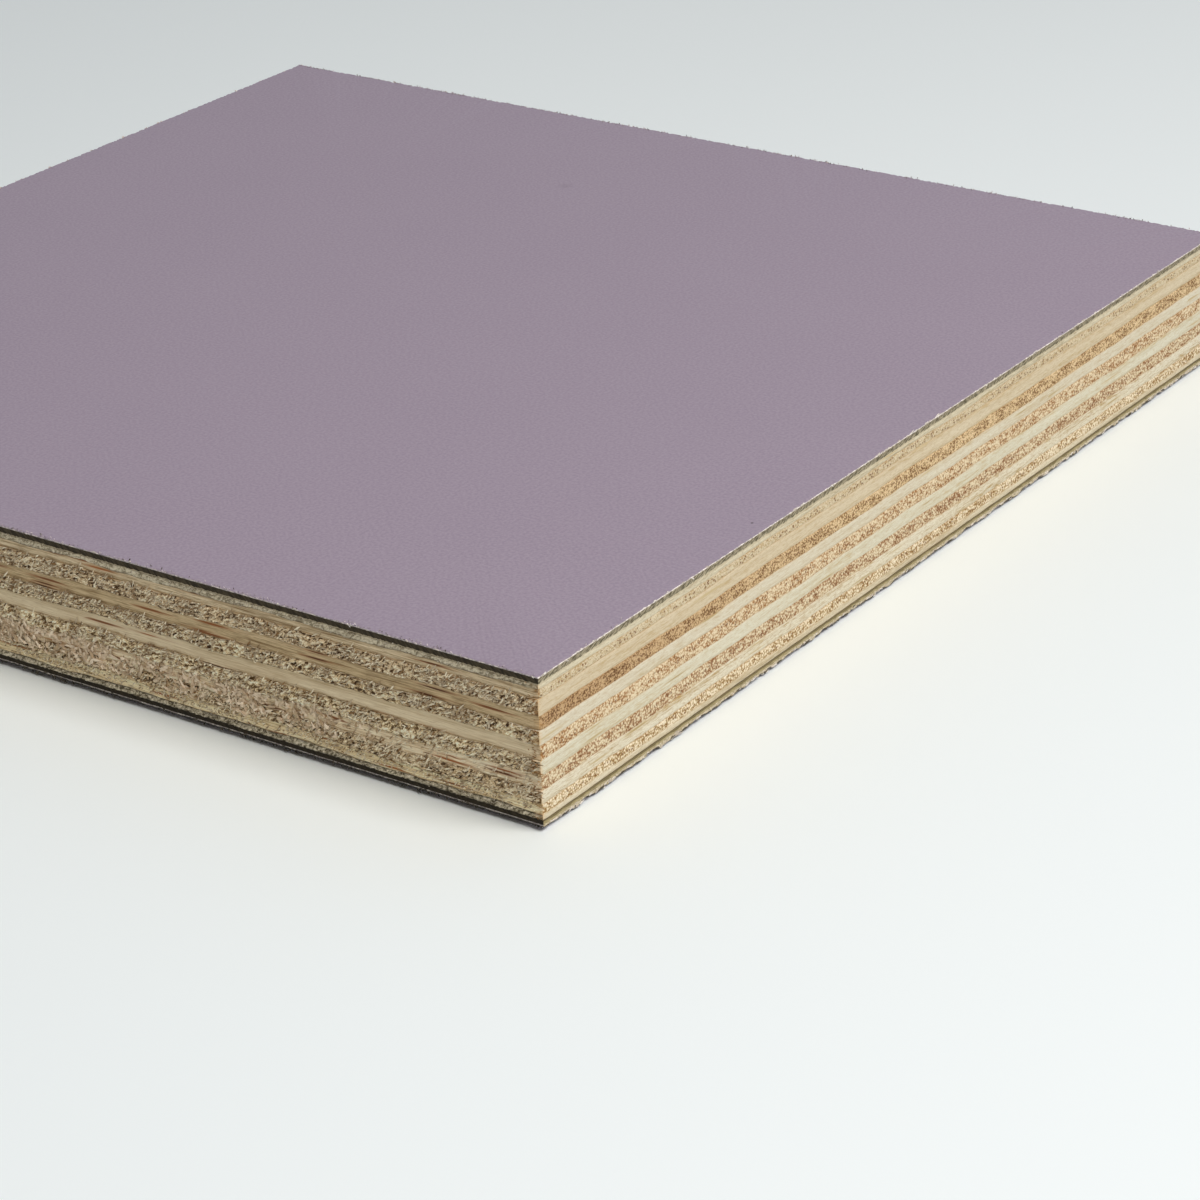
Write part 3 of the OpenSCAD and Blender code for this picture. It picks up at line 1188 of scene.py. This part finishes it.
@dataclass
class Veneer(SawnSheet):
    """One ply, with end grain on two of its sides and long grain on the other two.

    Attributes:
        x_sides: Finish of the sides that face along X.
        y_sides: Finish of the sides that face along Y.
        number: Place in the lay-up from the top, which seeds its pattern.
        tear: Depth of the relief on the end grain.
        clump: Length and height of a clump of torn end grain.
        streak: Depth of the relief on the long grain.
        streak_size: Length and height of a streak on the long grain.
        fibre: Length, width and thickness of a loose fibre.
        bit: Kind of its loose fibres.
        held: Height of the strip along each joint where the glue holds the fibres down.
        fuzz: Share of loose fibres on the end grain.
        side_fuzz: Share of loose fibres on the long grain.
        tufts: Share of long curls on the Y sides.
        proud: How far the end grain stands out, because its fibres sprang back from the saw.
        wear: How far the corners of the sheet are broken away at most.
        slant: Angle that the torn clumps lean at, in degrees.
        groove: Depth of the groove along each joint.
        groove_width: Width of that groove in millimetres.
        wander: Scale of the wander of the glue lines.
    """

    x_sides: LongGrain | BeadGrain = LongGrain("veneer")
    y_sides: TornGrain | LongGrain = TornGrain("veneer")
    number: int = 1
    tear: float = 0.17 * MM
    clump: tuple[float, float] = (0.7 * MM, 0.32 * MM)
    streak: float = 0.02 * MM
    streak_size: tuple[float, float] = (6.0 * MM, 0.16 * MM)
    fibre: tuple[float, float, float] = (0.52 * MM, 0.105 * MM, 0.085 * MM)
    bit: Bit = Bit.FIBRE
    held: float = 0.04 * MM
    fuzz: float = 1.0
    side_fuzz: float = 0.0
    tufts: float = 0.0
    proud: float = 0.14 * MM
    wear: float = 0.1 * MM
    slant: float = 25.0
    groove: float = 0.05 * MM
    groove_width: float = 0.14
    wander: float = 1.3 * MM

    @property
    def grain_along_y(self) -> bool:
        """True where the end grain is on the Y sides."""
        return isinstance(self.y_sides, TornGrain)

    def end_axis(self) -> Run:
        """Axis that the end grain faces along."""
        return Run.Y if self.grain_along_y else Run.X

    def own_marks(self, along_x: np.ndarray, rise: np.ndarray, corner: np.ndarray,
                  count: int) -> dict[str, np.ndarray]:
        """Mark the end grain, and where fibres hang loose on the sides and at the corners.

        Args:
            along_x: For each point of the sides, whether its side runs along X.
            rise: Height of each of them, from 0 to 1.
            corner: Distance of each of them from the corner, in millimetres.
            count: Number of points of the mesh.

        Returns:
            Values of each attribute.
        """
        wall = len(along_x)
        marks = {name: np.zeros(count) for name in ("end_grain", "fuzz", "fringe", "tufts")}
        end_grain = along_x == self.grain_along_y
        marks["end_grain"][:wall] = end_grain
        # Next to the joints the glue holds the fibres down, and at the corners the saw broke them off
        joint = np.minimum(rise, 1.0 - rise) * self.thickness
        loose = np.clip((joint - self.held) / (0.12 * MM), 0.0, 1.0) * np.clip(2.0 * corner - 0.8, 0.0, 1.0)
        marks["fuzz"][:wall] = np.where(end_grain, self.fuzz, self.side_fuzz) * loose
        marks["fringe"][:wall] = (corner > 0.55) * np.clip(1.8 - corner, 0.0, 1.0) * along_x
        # The saw lifted the curls once it was well into the sheet
        marks["tufts"][:wall] = self.tufts * np.clip((corner - 20.0) / 12.0, 0.0, 1.0) * along_x * loose
        return marks

    def scatters(self) -> tuple[Scatter, ...]:
        """List the loose bits of the ply: its fibres, its curls and the fringe at its corners.

        Returns:
            How each kind of bit lies, in the order in which they are scattered.
        """
        cover = 0.68 / (self.fibre[0] * self.fibre[1])
        return (
            Scatter(self.bit, "fuzz", cover, 3.0 * MM, self.fibre,
                    slant=30, spread=34, lift=14, strip=Strip.BITS, seed=40 + self.number),
            Scatter(Bit.CURL, "tufts", 4.2e6, 4.0 * MM, (0.62 * MM, 0.13 * MM, 0.1 * MM),
                    slant=105, spread=85, lift=12, strip=Strip.CURLS, seed=60 + self.number),
            # The fringe's amber tones are painted glow of the light that shines through these thin fibres at
            # the corners
            Scatter(Bit.FRINGE, "fringe", 6.0e6, 1.5 * MM, (0.26 * MM, 0.07 * MM, 0.05 * MM),
                    slant=0, spread=14, lift=6, strip=Strip.EDGE, seed=80 + self.number))

    def build(self, relief: NodeTree, trees: dict[Bit, NodeTree], loose: dict[Bit, Material],
              outer: tuple[bool, bool]) -> Object:
        """Build the ply with its torn sides and loose fibres.

        Args:
            relief: Tree that tears and streaks the sides.
            trees: Tree that scatters each kind of loose bit.
            loose: Material of each kind of loose bit.
            outer: Whether the ply lies against the lower or the upper laminate.

        Returns:
            The finished piece.
        """
        x_side = self.x_sides.material(Run.Y)
        piece = self.place([x_side, self.y_sides.material(Run.X), x_side])
        below, above = (0.0 if against else self.wander for against in outer)
        run_tree(piece, relief, {
            "Tear depth": self.tear, "Clump size": (*self.clump, 1.0), "Slant": math.radians(self.slant),
            "Streak depth": self.streak, "Streak size": (*self.streak_size, 1.0), "Groove depth": self.groove,
            "Groove width": self.groove_width, "Wave below": below, "Wave above": above, "Proud": self.proud,
            "Corner wear": self.wear, "Underside": self.low.z, "Upper side": self.high.z,
            "Seed": RELIEF_SHIFT * self.number})
        self.strew(piece, self.scatters(), trees, loose)
        return self.hand_over(piece)


@dataclass
class Laminate(SawnSheet):
    """A pressed sheet: a decor face on a dark core, with a chipped arris.

    Attributes:
        decor: Which face carries the decor.
        face: Finish of the decor face.
        lit_side: Finish of the core on the X sides, which face the lamp.
        clean: Finish of the core on the Y sides.
        edge: Finish of the decor where the saw cut it on the Y sides.
        lit_side_edge: Finish of the decor where the saw cut it on the X sides, which face the lamp.
        decor_share: Share of the thickness that the decor takes.
        core_rows: Rows of faces up the core.
        decor_rows: Rows of faces up the decor.
    """

    decor: Decor = Decor.UP
    face: DecorFace = DecorFace("pressed melamine decor")
    lit_side: KraftCore = KraftCore("kraft core, scuffed")
    clean: KraftCore = KraftCore("kraft core, clean cut")
    edge: DecorEdge = DecorEdge("sawn melamine edge")
    lit_side_edge: DecorEdge = DecorEdge("sawn melamine edge, scuffed")
    decor_share: float = 0.2
    core_rows: int = 4
    decor_rows: int = 3
    shoulder: float = 0.5 * MM
    step_along_x: float = 0.28 * MM
    step_along_y: float = 0.28 * MM

    def levels(self) -> np.ndarray:
        """Heights of the rows: coarse ones in the core and fine ones in the decor.

        Returns:
            Heights from 0 at the underside to 1 at the upper side.
        """
        core = np.linspace(0.0, 1.0 - self.decor_share, self.core_rows + 1)
        decor = np.linspace(1.0 - self.decor_share, 1.0, self.decor_rows + 1)
        upward = np.concatenate([core, decor[1:]])
        return upward if self.decor is Decor.UP else 1.0 - upward[::-1]

    def bake_areas(self) -> tuple[tuple[float, float], Square, Square]:
        """Give the decor face most of the bake map."""
        face, back = (0.0, 0.0, 0.83), (0.85, 0.0, 0.14)
        return (0.84, 0.94), *((face, back) if self.decor is Decor.UP else (back, face))

    def own_marks(self, along_x: np.ndarray, rise: np.ndarray, corner: np.ndarray,
                  count: int) -> dict[str, np.ndarray]:
        """Mark the arris that chips, and where flakes and burrs hang.

        Args:
            along_x: For each point of the sides, whether its side runs along X.
            rise: Height of each of them, from 0 to 1.
            corner: Distance of each of them from the corner, in millimetres.
            count: Number of points of the mesh.

        Returns:
            Values of each attribute.
        """
        wall = len(along_x)
        marks = {name: np.zeros(count) for name in ("arris", "flaked", "burred", "hanging")}
        to_face = rise if self.decor is Decor.UP else 1.0 - rise
        marks["arris"][:wall] = np.clip(1.0 - (1.0 - to_face) / self.decor_share, 0.0, 1.0)
        # Flakes hang mostly on the X sides, and hairs and burrs on the Y sides
        marks["flaked"][:wall] = (to_face > 1.0 - 0.6 * self.decor_share) * np.where(
            along_x, 0.2 if self.decor is Decor.UP else 0.0, 1.5)
        marks["burred"][:wall] = (to_face > 1.0 - 0.5 * self.decor_share) * np.where(along_x, 1.0, 0.03)
        # On the sides that the saw left last, the lower sheet keeps a lip that hangs from the cut
        marks["hanging"][:wall] = ~along_x * np.clip(corner - 0.3, 0.0, 1.0) * (self.decor is Decor.DOWN)
        return marks

    def scatters(self) -> tuple[Scatter, ...]:
        """List the loose bits along the arris: flakes, and hairs above or burrs below.

        Returns:
            How each kind of bit lies, in the order in which they are scattered.
        """
        if self.decor is Decor.UP:
            return (
                Scatter(Bit.FLAKE, "flaked", 7.0e6, 3.0 * MM, (0.34 * MM, 0.13 * MM, 0.08 * MM),
                        slant=0, spread=25, lift=10, strip=Strip.BITS, seed=7),
                Scatter(Bit.HAIR, "burred", 8.6e6, 5.0 * MM, (0.15 * MM, 0.075 * MM, 0.06 * MM),
                        slant=80, spread=65, lift=10, strip=Strip.EDGE, seed=29))
        return (
            Scatter(Bit.FLAKE, "flaked", 4.0e6, 2.0 * MM, (0.5 * MM, 0.13 * MM, 0.06 * MM),
                    slant=4, spread=9, lift=5, strip=Strip.BITS, seed=13),
            Scatter(Bit.BURR, "burred", 5.0e6, 6.0 * MM, (0.28 * MM, 0.18 * MM, 0.14 * MM),
                    slant=0, spread=48, lift=8, strip=Strip.EDGE, seed=29))

    def build(self, arris: NodeTree, trees: dict[Bit, NodeTree], loose: dict[Bit, Material]) -> Object:
        """Build the laminate with its chipped arris and its flakes.

        Args:
            arris: Tree that chips the arris.
            trees: Tree that scatters each kind of loose bit.
            loose: Material of each kind of loose bit.

        Returns:
            The finished piece.
        """
        piece = self.place([self.lit_side.material(Run.Y), self.clean.material(Run.X), self.face.material(),
                            self.lit_side_edge.material(Run.Y), self.edge.material(Run.X)])
        self.part_faces(piece.data)
        run_tree(piece, arris, {
            "Chip depth": 0.14 * MM, "Chip length": 0.45 * MM, "Ripple depth": 0.015 * MM,
            "Ripple length": 0.5 * MM, "Lip depth": 0.25 * MM, "Lip length": 2.4 * MM,
            "Face": float(self.decor.value), "Seed": 1.7})
        self.strew(piece, self.scatters(), trees, loose)
        return self.hand_over(piece)

    def part_faces(self, mesh: Mesh) -> None:
        """Give the decor its own material on the sides, and the hidden face the core's.

        Args:
            mesh: Mesh of the bare sheet.
        """
        count = len(mesh.polygons)
        material = np.zeros(count, np.int32)
        centre = np.zeros(count * 3)
        mesh.polygons.foreach_get("material_index", material)
        mesh.polygons.foreach_get("center", centre)
        share = (centre[2::3] - self.low.z) / self.thickness
        to_face = share if self.decor is Decor.UP else 1.0 - share
        cut_decor = (material < 2) & (to_face > 1.0 - self.decor_share)
        material[cut_decor] += 3
        material[(material == 2) & (to_face < 0.5)] = 1
        mesh.polygons.foreach_set("material_index", material)


@dataclass
class PlywoodPanel:
    """The whole sheet: eleven veneers between two laminates.

    Attributes:
        smooth_step: Width of a column of faces on the long-grain sides, which carry less relief.
    """

    smooth_step: float = 0.6 * MM

    def long_ply(self, number: int, node: str, cream: tuple[str, str, str], torn: tuple[str, str, str],
                 joint: tuple[str, float] = ("#4a3519", 0.7), **sizes: Any) -> Veneer:
        """Make a ply with its grain along Y: cream X sides and torn Y sides.

        Args:
            number: Place in the lay-up from the top.
            node: CAD node that the ply replaces.
            cream: Dark, middle and pale colour of the X sides.
            torn: Dark, middle and pale colour of the Y sides.
            joint: Colour of the glue lines on the Y sides, and how dark they show.
            **sizes: Other fields of the ply.

        Returns:
            The ply.
        """
        label = f"ply {number:02d} birch, "
        smooth = LongGrain(label + "long grain", PLY_SHIFT * number, *cream, glue=0.35, glue_colour="#c39a62",
                           painted_glow=0.4, painted_glow_reach=0.6, painted_glow_colour="#dcae6a", grain=1.8, flecks=0.08,
                           fleck="#cdba92", deep_fleck="#b09a6c", lines=0.5)
        rough = TornGrain(label + "torn end grain", PLY_SHIFT * number, *torn, glue=joint[1],
                          glue_colour=joint[0], glue_reach=0.28, painted_glow=0.5)
        return Veneer(node, "long_veneer", step_along_y=self.smooth_step, number=number, x_sides=smooth,
                      y_sides=rough, **sizes)

    def cross_ply(self, number: int, node: str, beads: tuple[str, str, str], smooth: tuple[str, str, str],
                  bead: float, pores: float, deepen: float = 0.0, flecks: float = 0.3,
                  **sizes: Any) -> Veneer:
        """Make a ply with its grain along X: beaded X sides and smooth Y sides.

        Args:
            number: Place in the lay-up from the top.
            node: CAD node that the ply replaces.
            beads: Dark, middle and pale colour of the X sides.
            smooth: Dark, middle and pale colour of the Y sides.
            bead: Width of one bead on the X sides in millimetres.
            pores: Share of the places for a pore that have one.
            deepen: How much darker the X sides are where the saw went in.
            flecks: Share of the places for a fleck on the Y sides that have one.
            **sizes: Other fields of the ply.

        Returns:
            The ply.
        """
        label = f"ply {number:02d} meranti, "
        speckled = BeadGrain(label + "beaded end grain", PLY_SHIFT * number, *beads, glue=0.35,
                             glue_colour="#a06d35", painted_glow=0.4, painted_glow_reach=0.6, painted_glow_colour="#cf9c58",
                             bead=bead, pores=pores, deepen=deepen)
        streaked = LongGrain(label + "long grain", PLY_SHIFT * number, *smooth, glue=0.45, painted_glow=0.5,
                             flecks=flecks)
        return Veneer(node, "cross_veneer", step_along_x=self.smooth_step, number=number, tear=0.03 * MM,
                      clump=(0.3 * MM, 0.28 * MM), fuzz=0.0, proud=0.0, wear=0.3 * MM, x_sides=speckled,
                      y_sides=streaked, **sizes)

    def veneers(self) -> list[Veneer]:
        """List the plies from the top down, each with the finish of its four sides.

        Returns:
            The plies.
        """
        # The outer plies are sanded thin, so they tear less and shed only crumbs
        thin = {"tear": 0.07 * MM, "clump": (0.36 * MM, 0.18 * MM), "proud": 0.04 * MM, "bit": Bit.CRUMB,
                "fibre": (0.17 * MM, 0.07 * MM, 0.05 * MM)}
        return [
            self.long_ply(1, "veneer_01_face", ("#a89878", "#d2c8ae", "#dfd7bf"),
                          ("#8a7f67", "#cbbfa6", "#e0d7c0"), fuzz=0.18, held=0.1 * MM, **thin),
            self.cross_ply(2, "veneer_02_cross", ("#b89c70", "#c9b898", "#dccfb2"),
                           ("#856942", "#dac5a2", "#eeddbd"), bead=0.19, pores=1.0, flecks=0.42),
            self.long_ply(3, "veneer_03_long", ("#bea67c", "#d2c3a6", "#dacdb3"),
                          ("#4b3117", "#dbbe95", "#fff7dc")),
            self.cross_ply(4, "veneer_04_cross", ("#745020", "#cbac7e", "#e4cca4"),
                           ("#866a42", "#ccb48c", "#ddc59e"), bead=0.24, pores=0.62, deepen=0.5),
            self.long_ply(5, "veneer_05_long", ("#c4b08a", "#d7ceb8", "#dfd9c6"),
                          ("#4b3117", "#dec296", "#fffbe0")),
            self.cross_ply(6, "veneer_06_cross", ("#9a6a38", "#cfb58f", "#e8d9ba"),
                           ("#c5ad87", "#e1cead", "#eedebf"), bead=0.29, pores=0.36, flecks=0.16),
            self.long_ply(7, "veneer_07_long", ("#c6b288", "#d7d2bd", "#e0dcc9"),
                          ("#604623", "#ecd2a6", "#fffee7")),
            self.cross_ply(8, "veneer_08_cross", ("#8a5c34", "#c4a882", "#e6dabc"),
                           ("#ba9e74", "#f3debd", "#fffae1"), bead=0.29, pores=0.42, streak=0.07 * MM,
                           streak_size=(1.6 * MM, 0.24 * MM), side_fuzz=0.25, tufts=1.0),
            self.long_ply(9, "veneer_09_long", ("#b0925c", "#ded6c0", "#e6e0cd"),
                          ("#402a10", "#d3b78d", "#fff4d8"), tufts=0.38),
            self.cross_ply(10, "veneer_10_cross", ("#8f6a34", "#d2bc94", "#f4e8d0"),
                           ("#b09466", "#f7e2b8", "#fffbd9"), bead=0.28, pores=0.36, streak=0.06 * MM,
                           streak_size=(0.9 * MM, 0.2 * MM), side_fuzz=0.7,
                           fibre=(0.36 * MM, 0.1 * MM, 0.07 * MM)),
            self.long_ply(11, "veneer_11_back", ("#b4a27f", "#d1c4a8", "#e0d7bf"),
                          ("#5c513d", "#beb39a", "#e9decb"), joint=("#241c10", 0.95), fuzz=0.16,
                          held=0.12 * MM, **thin),
        ]

    def laminates(self) -> list[Laminate]:
        """Give the laminate of each face.

        Returns:
            The upper and the lower laminate.
        """
        upper = Laminate(
            "laminate_top", "decor_laminate", decor_share=0.15,
            # The core on the X sides gets far paler colours than on the Y sides: painted sheen, the bright
            # floor that its sawn face mirrors
            lit_side=KraftCore("kraft paper core, scuffed", 3.0, dark="#5a5340", pale="#aaa088", pitch=0.36,
                              lean=-66.0, smear=0.13, dust="#cbc0a4"),
            clean=KraftCore("kraft paper core, clean cut", 9.0, dark="#2a2318", pale="#483f2f", smear=0.09),
            lit_side_edge=DecorEdge("sawn melamine edge, scuffed", colour="#b0a7a2", chipped="#fbf6f1"),
            face=DecorFace("pressed melamine, mauve",
                           spots=((72.95, -32.5, 0.22, 0.95), (-8.5, 49.0, 1.3, 0.12))))
        lower = Laminate(
            "laminate_bottom", "decor_laminate", decor=Decor.DOWN, decor_share=0.4,
            clean=KraftCore("kraft paper core, burnished", 11.0, dark="#1d170e", pale="#332b1e"),
            # The pale core on the X sides is painted sheen, the bright floor that its sawn face mirrors
            lit_side=KraftCore("kraft paper core, scuffed pale", 5.0, dark="#9a8c66", pale="#cdbf98",
                              pitch=0.9, lean=78.0, smear=0.34, dust="#7a6d4c"),
            face=DecorFace("pressed melamine, mauve, underside"),
            # The dark lips along the lower arris are painted shadow of the gap between the sheet and the
            # floor
            edge=DecorEdge("melamine edge over the floor", colour="#7d7272", lip=0.19, ragged=0.15),
            lit_side_edge=DecorEdge("melamine edge over the floor, scuffed", colour="#a99a78",
                                   chipped="#e2d8c2", lip=0.08, ragged=1.0, tinted="#463d2b"))
        return [upper, lower]

    def build(self) -> list[Object]:
        """Build every piece of the sheet.

        Returns:
            The two laminates, then the plies from the top down.
        """
        relief = SawnRelief().tree()
        arris = ChippedArris().tree()
        bits = LooseBits().tree()
        bows = (((0.4, 3.6, 1.9), (0.85, 0.2, 0.1)), ((0.6, -3.2, 1.7), (0.9, 0.9, 0.2)),
                ((0.35, 2.6, 2.2), (0.7, 3.2, -0.2)))
        curls = LooseBits("curled_bits", bows, segments=4).tree()
        trees = {bit: curls if bit is Bit.CURL else bits for bit in Bit}
        loose = {
            Bit.FIBRE: LooseFibre("torn wood fibre").material(),
            Bit.CRUMB: LooseFibre("sanded veneer crumb", dark="#8d816d", pale="#e0d6c6").material(),
            Bit.CURL: LooseFibre("curled wood fibre", dark="#b89c79", pale="#fdebd4").material(),
            # The amber tones of the corner fringe are painted glow
            Bit.FRINGE: LooseFibre("wood fibre, painted glow", dark="#7c5228", pale="#c79a63").material(),
            Bit.FLAKE: LooseFibre("chipped melamine", dark="#b9aea4", pale="#f4efe8").material(),
            Bit.BURR: LooseFibre("burnt kraft burr", dark="#1c1812", pale="#544d42").material(),
            Bit.HAIR: LooseFibre("lifted melamine hair", dark="#463c34", pale="#e6dcdf").material()}
        plies = self.veneers()
        made = [sheet.build(arris, trees, loose) for sheet in self.laminates()]
        made += [ply.build(relief, trees, loose, (ply is plies[-1], ply is plies[0])) for ply in plies]
        return made


@dataclass
class Studio:
    """Pale floor, one soft lamp at the sheet's right, a soft fill from all round, and the camera.

    Attributes:
        floor_drop: How far the burrs hold the sheet off the floor.
        floor_size: Side of the square floor.
        floor_colour: Colour of the floor.
        lamp_place: Place of the middle of the lamp.
        lamp_size: Width and height of the lamp.
        lamp_power: Power of the lamp in watts.
        lamp_colour: Colour of its light.
        fill: Strength of the fill from before the sheet.
        fill_colour: Colour of that fill.
        window: Strength of the bluer fill from behind the sheet.
        window_colour: Colour of that fill.
        window_side: Direction in which it is strongest.
        backdrop: Colour behind the floor.
        camera_place: Place of the camera in millimetres.
        camera_turn: Heading, downward tilt and roll of the camera in degrees.
        lens: Focal length of the camera in millimetres.
    """

    floor_drop: float = 0.5 * MM
    floor_size: float = 6.0
    floor_colour: str = "#f0f8fa"
    lamp_place: tuple[float, float, float] = (0.5, -0.085, 0.67)
    lamp_size: tuple[float, float] = (0.58, 0.42)
    lamp_power: float = 5.86
    lamp_colour: str = "#fff9f5"
    fill: float = 0.135
    fill_colour: str = "#ffebb8"
    window: float = 0.66
    window_colour: str = "#bcd2f4"
    window_side: tuple[float, float, float] = (-0.64, 0.77, 0.0)
    backdrop: str = "#eff2f1"
    camera_place: tuple[float, float, float] = (269.818, -339.908, 178.798)
    camera_turn: tuple[float, float, float] = (125.2282, 25.0651, -1.7270)
    lens: float = 111.84

    def build(self) -> None:
        """Build the floor, the light and the camera."""
        bpy.context.scene.view_settings.view_transform = "Standard"
        self.floor()
        self.light()
        self.camera()

    def floor(self) -> None:
        """Lay the floor just under the burrs of the sheet."""
        half = self.floor_size / 2
        corners = ((-half, -half), (half, -half), (half, half), (-half, half))
        mesh = bpy.data.meshes.new("floor")
        mesh.from_pydata([(x, y, -self.floor_drop) for x, y in corners], [], [(0, 1, 2, 3)])
        # To the eye it is plain white card, dull enough to show no reflection of the sheet
        material, _, shader = Finish("white board, matt").start(roughness=0.9)
        shader.inputs["Base Color"].default_value = linear(self.floor_colour)
        shader.inputs["Specular IOR Level"].default_value = 0.2
        mesh.materials.append(material)
        floor = bpy.data.objects.new("floor", mesh)
        bpy.context.scene.collection.objects.link(floor)

    def light(self) -> None:
        """Hang the lamp and set the fill, which the camera sees as a pale backdrop."""
        lamp = bpy.data.lights.new("softbox", "AREA")
        lamp.energy = self.lamp_power
        lamp.color = linear(self.lamp_colour)[:3]
        lamp.shape = "RECTANGLE"
        lamp.size, lamp.size_y = self.lamp_size
        lamp_object = bpy.data.objects.new("softbox", lamp)
        place = Vector(self.lamp_place)
        aim = (-place).to_track_quat("-Z", "Y").to_matrix().to_4x4()
        lamp_object.matrix_world = Matrix.Translation(place) @ aim
        bpy.context.scene.collection.objects.link(lamp_object)
        world = bpy.data.worlds.new("studio")
        world.use_nodes = True
        bpy.context.scene.world = world
        tree = world.node_tree
        tree.nodes.clear()
        path = add(tree, "LightPath").outputs
        mirrored = add(tree, "Math", [path["Is Glossy Ray"], path["Is Transmission Ray"]],
                       operation="MAXIMUM")
        seen = add(tree, "Math", [path["Is Camera Ray"], mirrored], operation="MAXIMUM")
        sky = add(tree, "TexCoord").outputs["Generated"]
        toward = add(tree, "VectorMath", [sky, self.window_side], operation="DOT_PRODUCT")
        behind = add(tree, "MapRange", [toward.outputs["Value"], -0.6, 0.8])
        tint = add(tree, "Mix", {0: behind, 6: linear(self.fill_colour), 7: linear(self.window_colour)},
                   data_type="RGBA")
        level = add(tree, "Mix", {0: behind, 2: self.fill, 3: self.window}, data_type="FLOAT")
        fill = add(tree, "Background", [tint.outputs[2], level])
        backdrop = add(tree, "Background", [linear(self.backdrop), 1.0])
        mixed = add(tree, "MixShader", [seen, fill, backdrop])
        add(tree, "OutputWorld", [mixed])

    def camera(self) -> None:
        """Set the camera where the photograph was taken from."""
        yaw, pitch, roll = (math.radians(angle) for angle in self.camera_turn)
        forward = Vector((math.cos(pitch) * math.cos(yaw), math.cos(pitch) * math.sin(yaw), -math.sin(pitch)))
        level = Vector((math.sin(yaw), -math.cos(yaw), 0.0))
        upright = level.cross(forward)
        right = math.cos(roll) * level + math.sin(roll) * upright
        up = -math.sin(roll) * level + math.cos(roll) * upright
        data = bpy.data.cameras.new("camera")
        data.lens = self.lens
        data.sensor_width = 36.0
        data.clip_start = 0.01
        camera = bpy.data.objects.new("camera", data)
        turn = Matrix((right, up, -forward)).transposed().to_4x4()
        camera.matrix_world = Matrix.Translation(Vector(self.camera_place) * MM) @ turn
        bpy.context.scene.collection.objects.link(camera)
        bpy.context.scene.camera = camera


def main() -> None:
    """Build the sheet and the studio, and report each piece."""
    logging.basicConfig(level=logging.INFO, format="%(name)s: %(message)s")
    for piece in PlywoodPanel().build():
        triangles = sum(len(face.vertices) - 2 for face in piece.data.polygons)
        LOG.info("%s has %d triangles", piece.name, triangles)
    Studio().build()


if __name__ == "__main__":
    main()
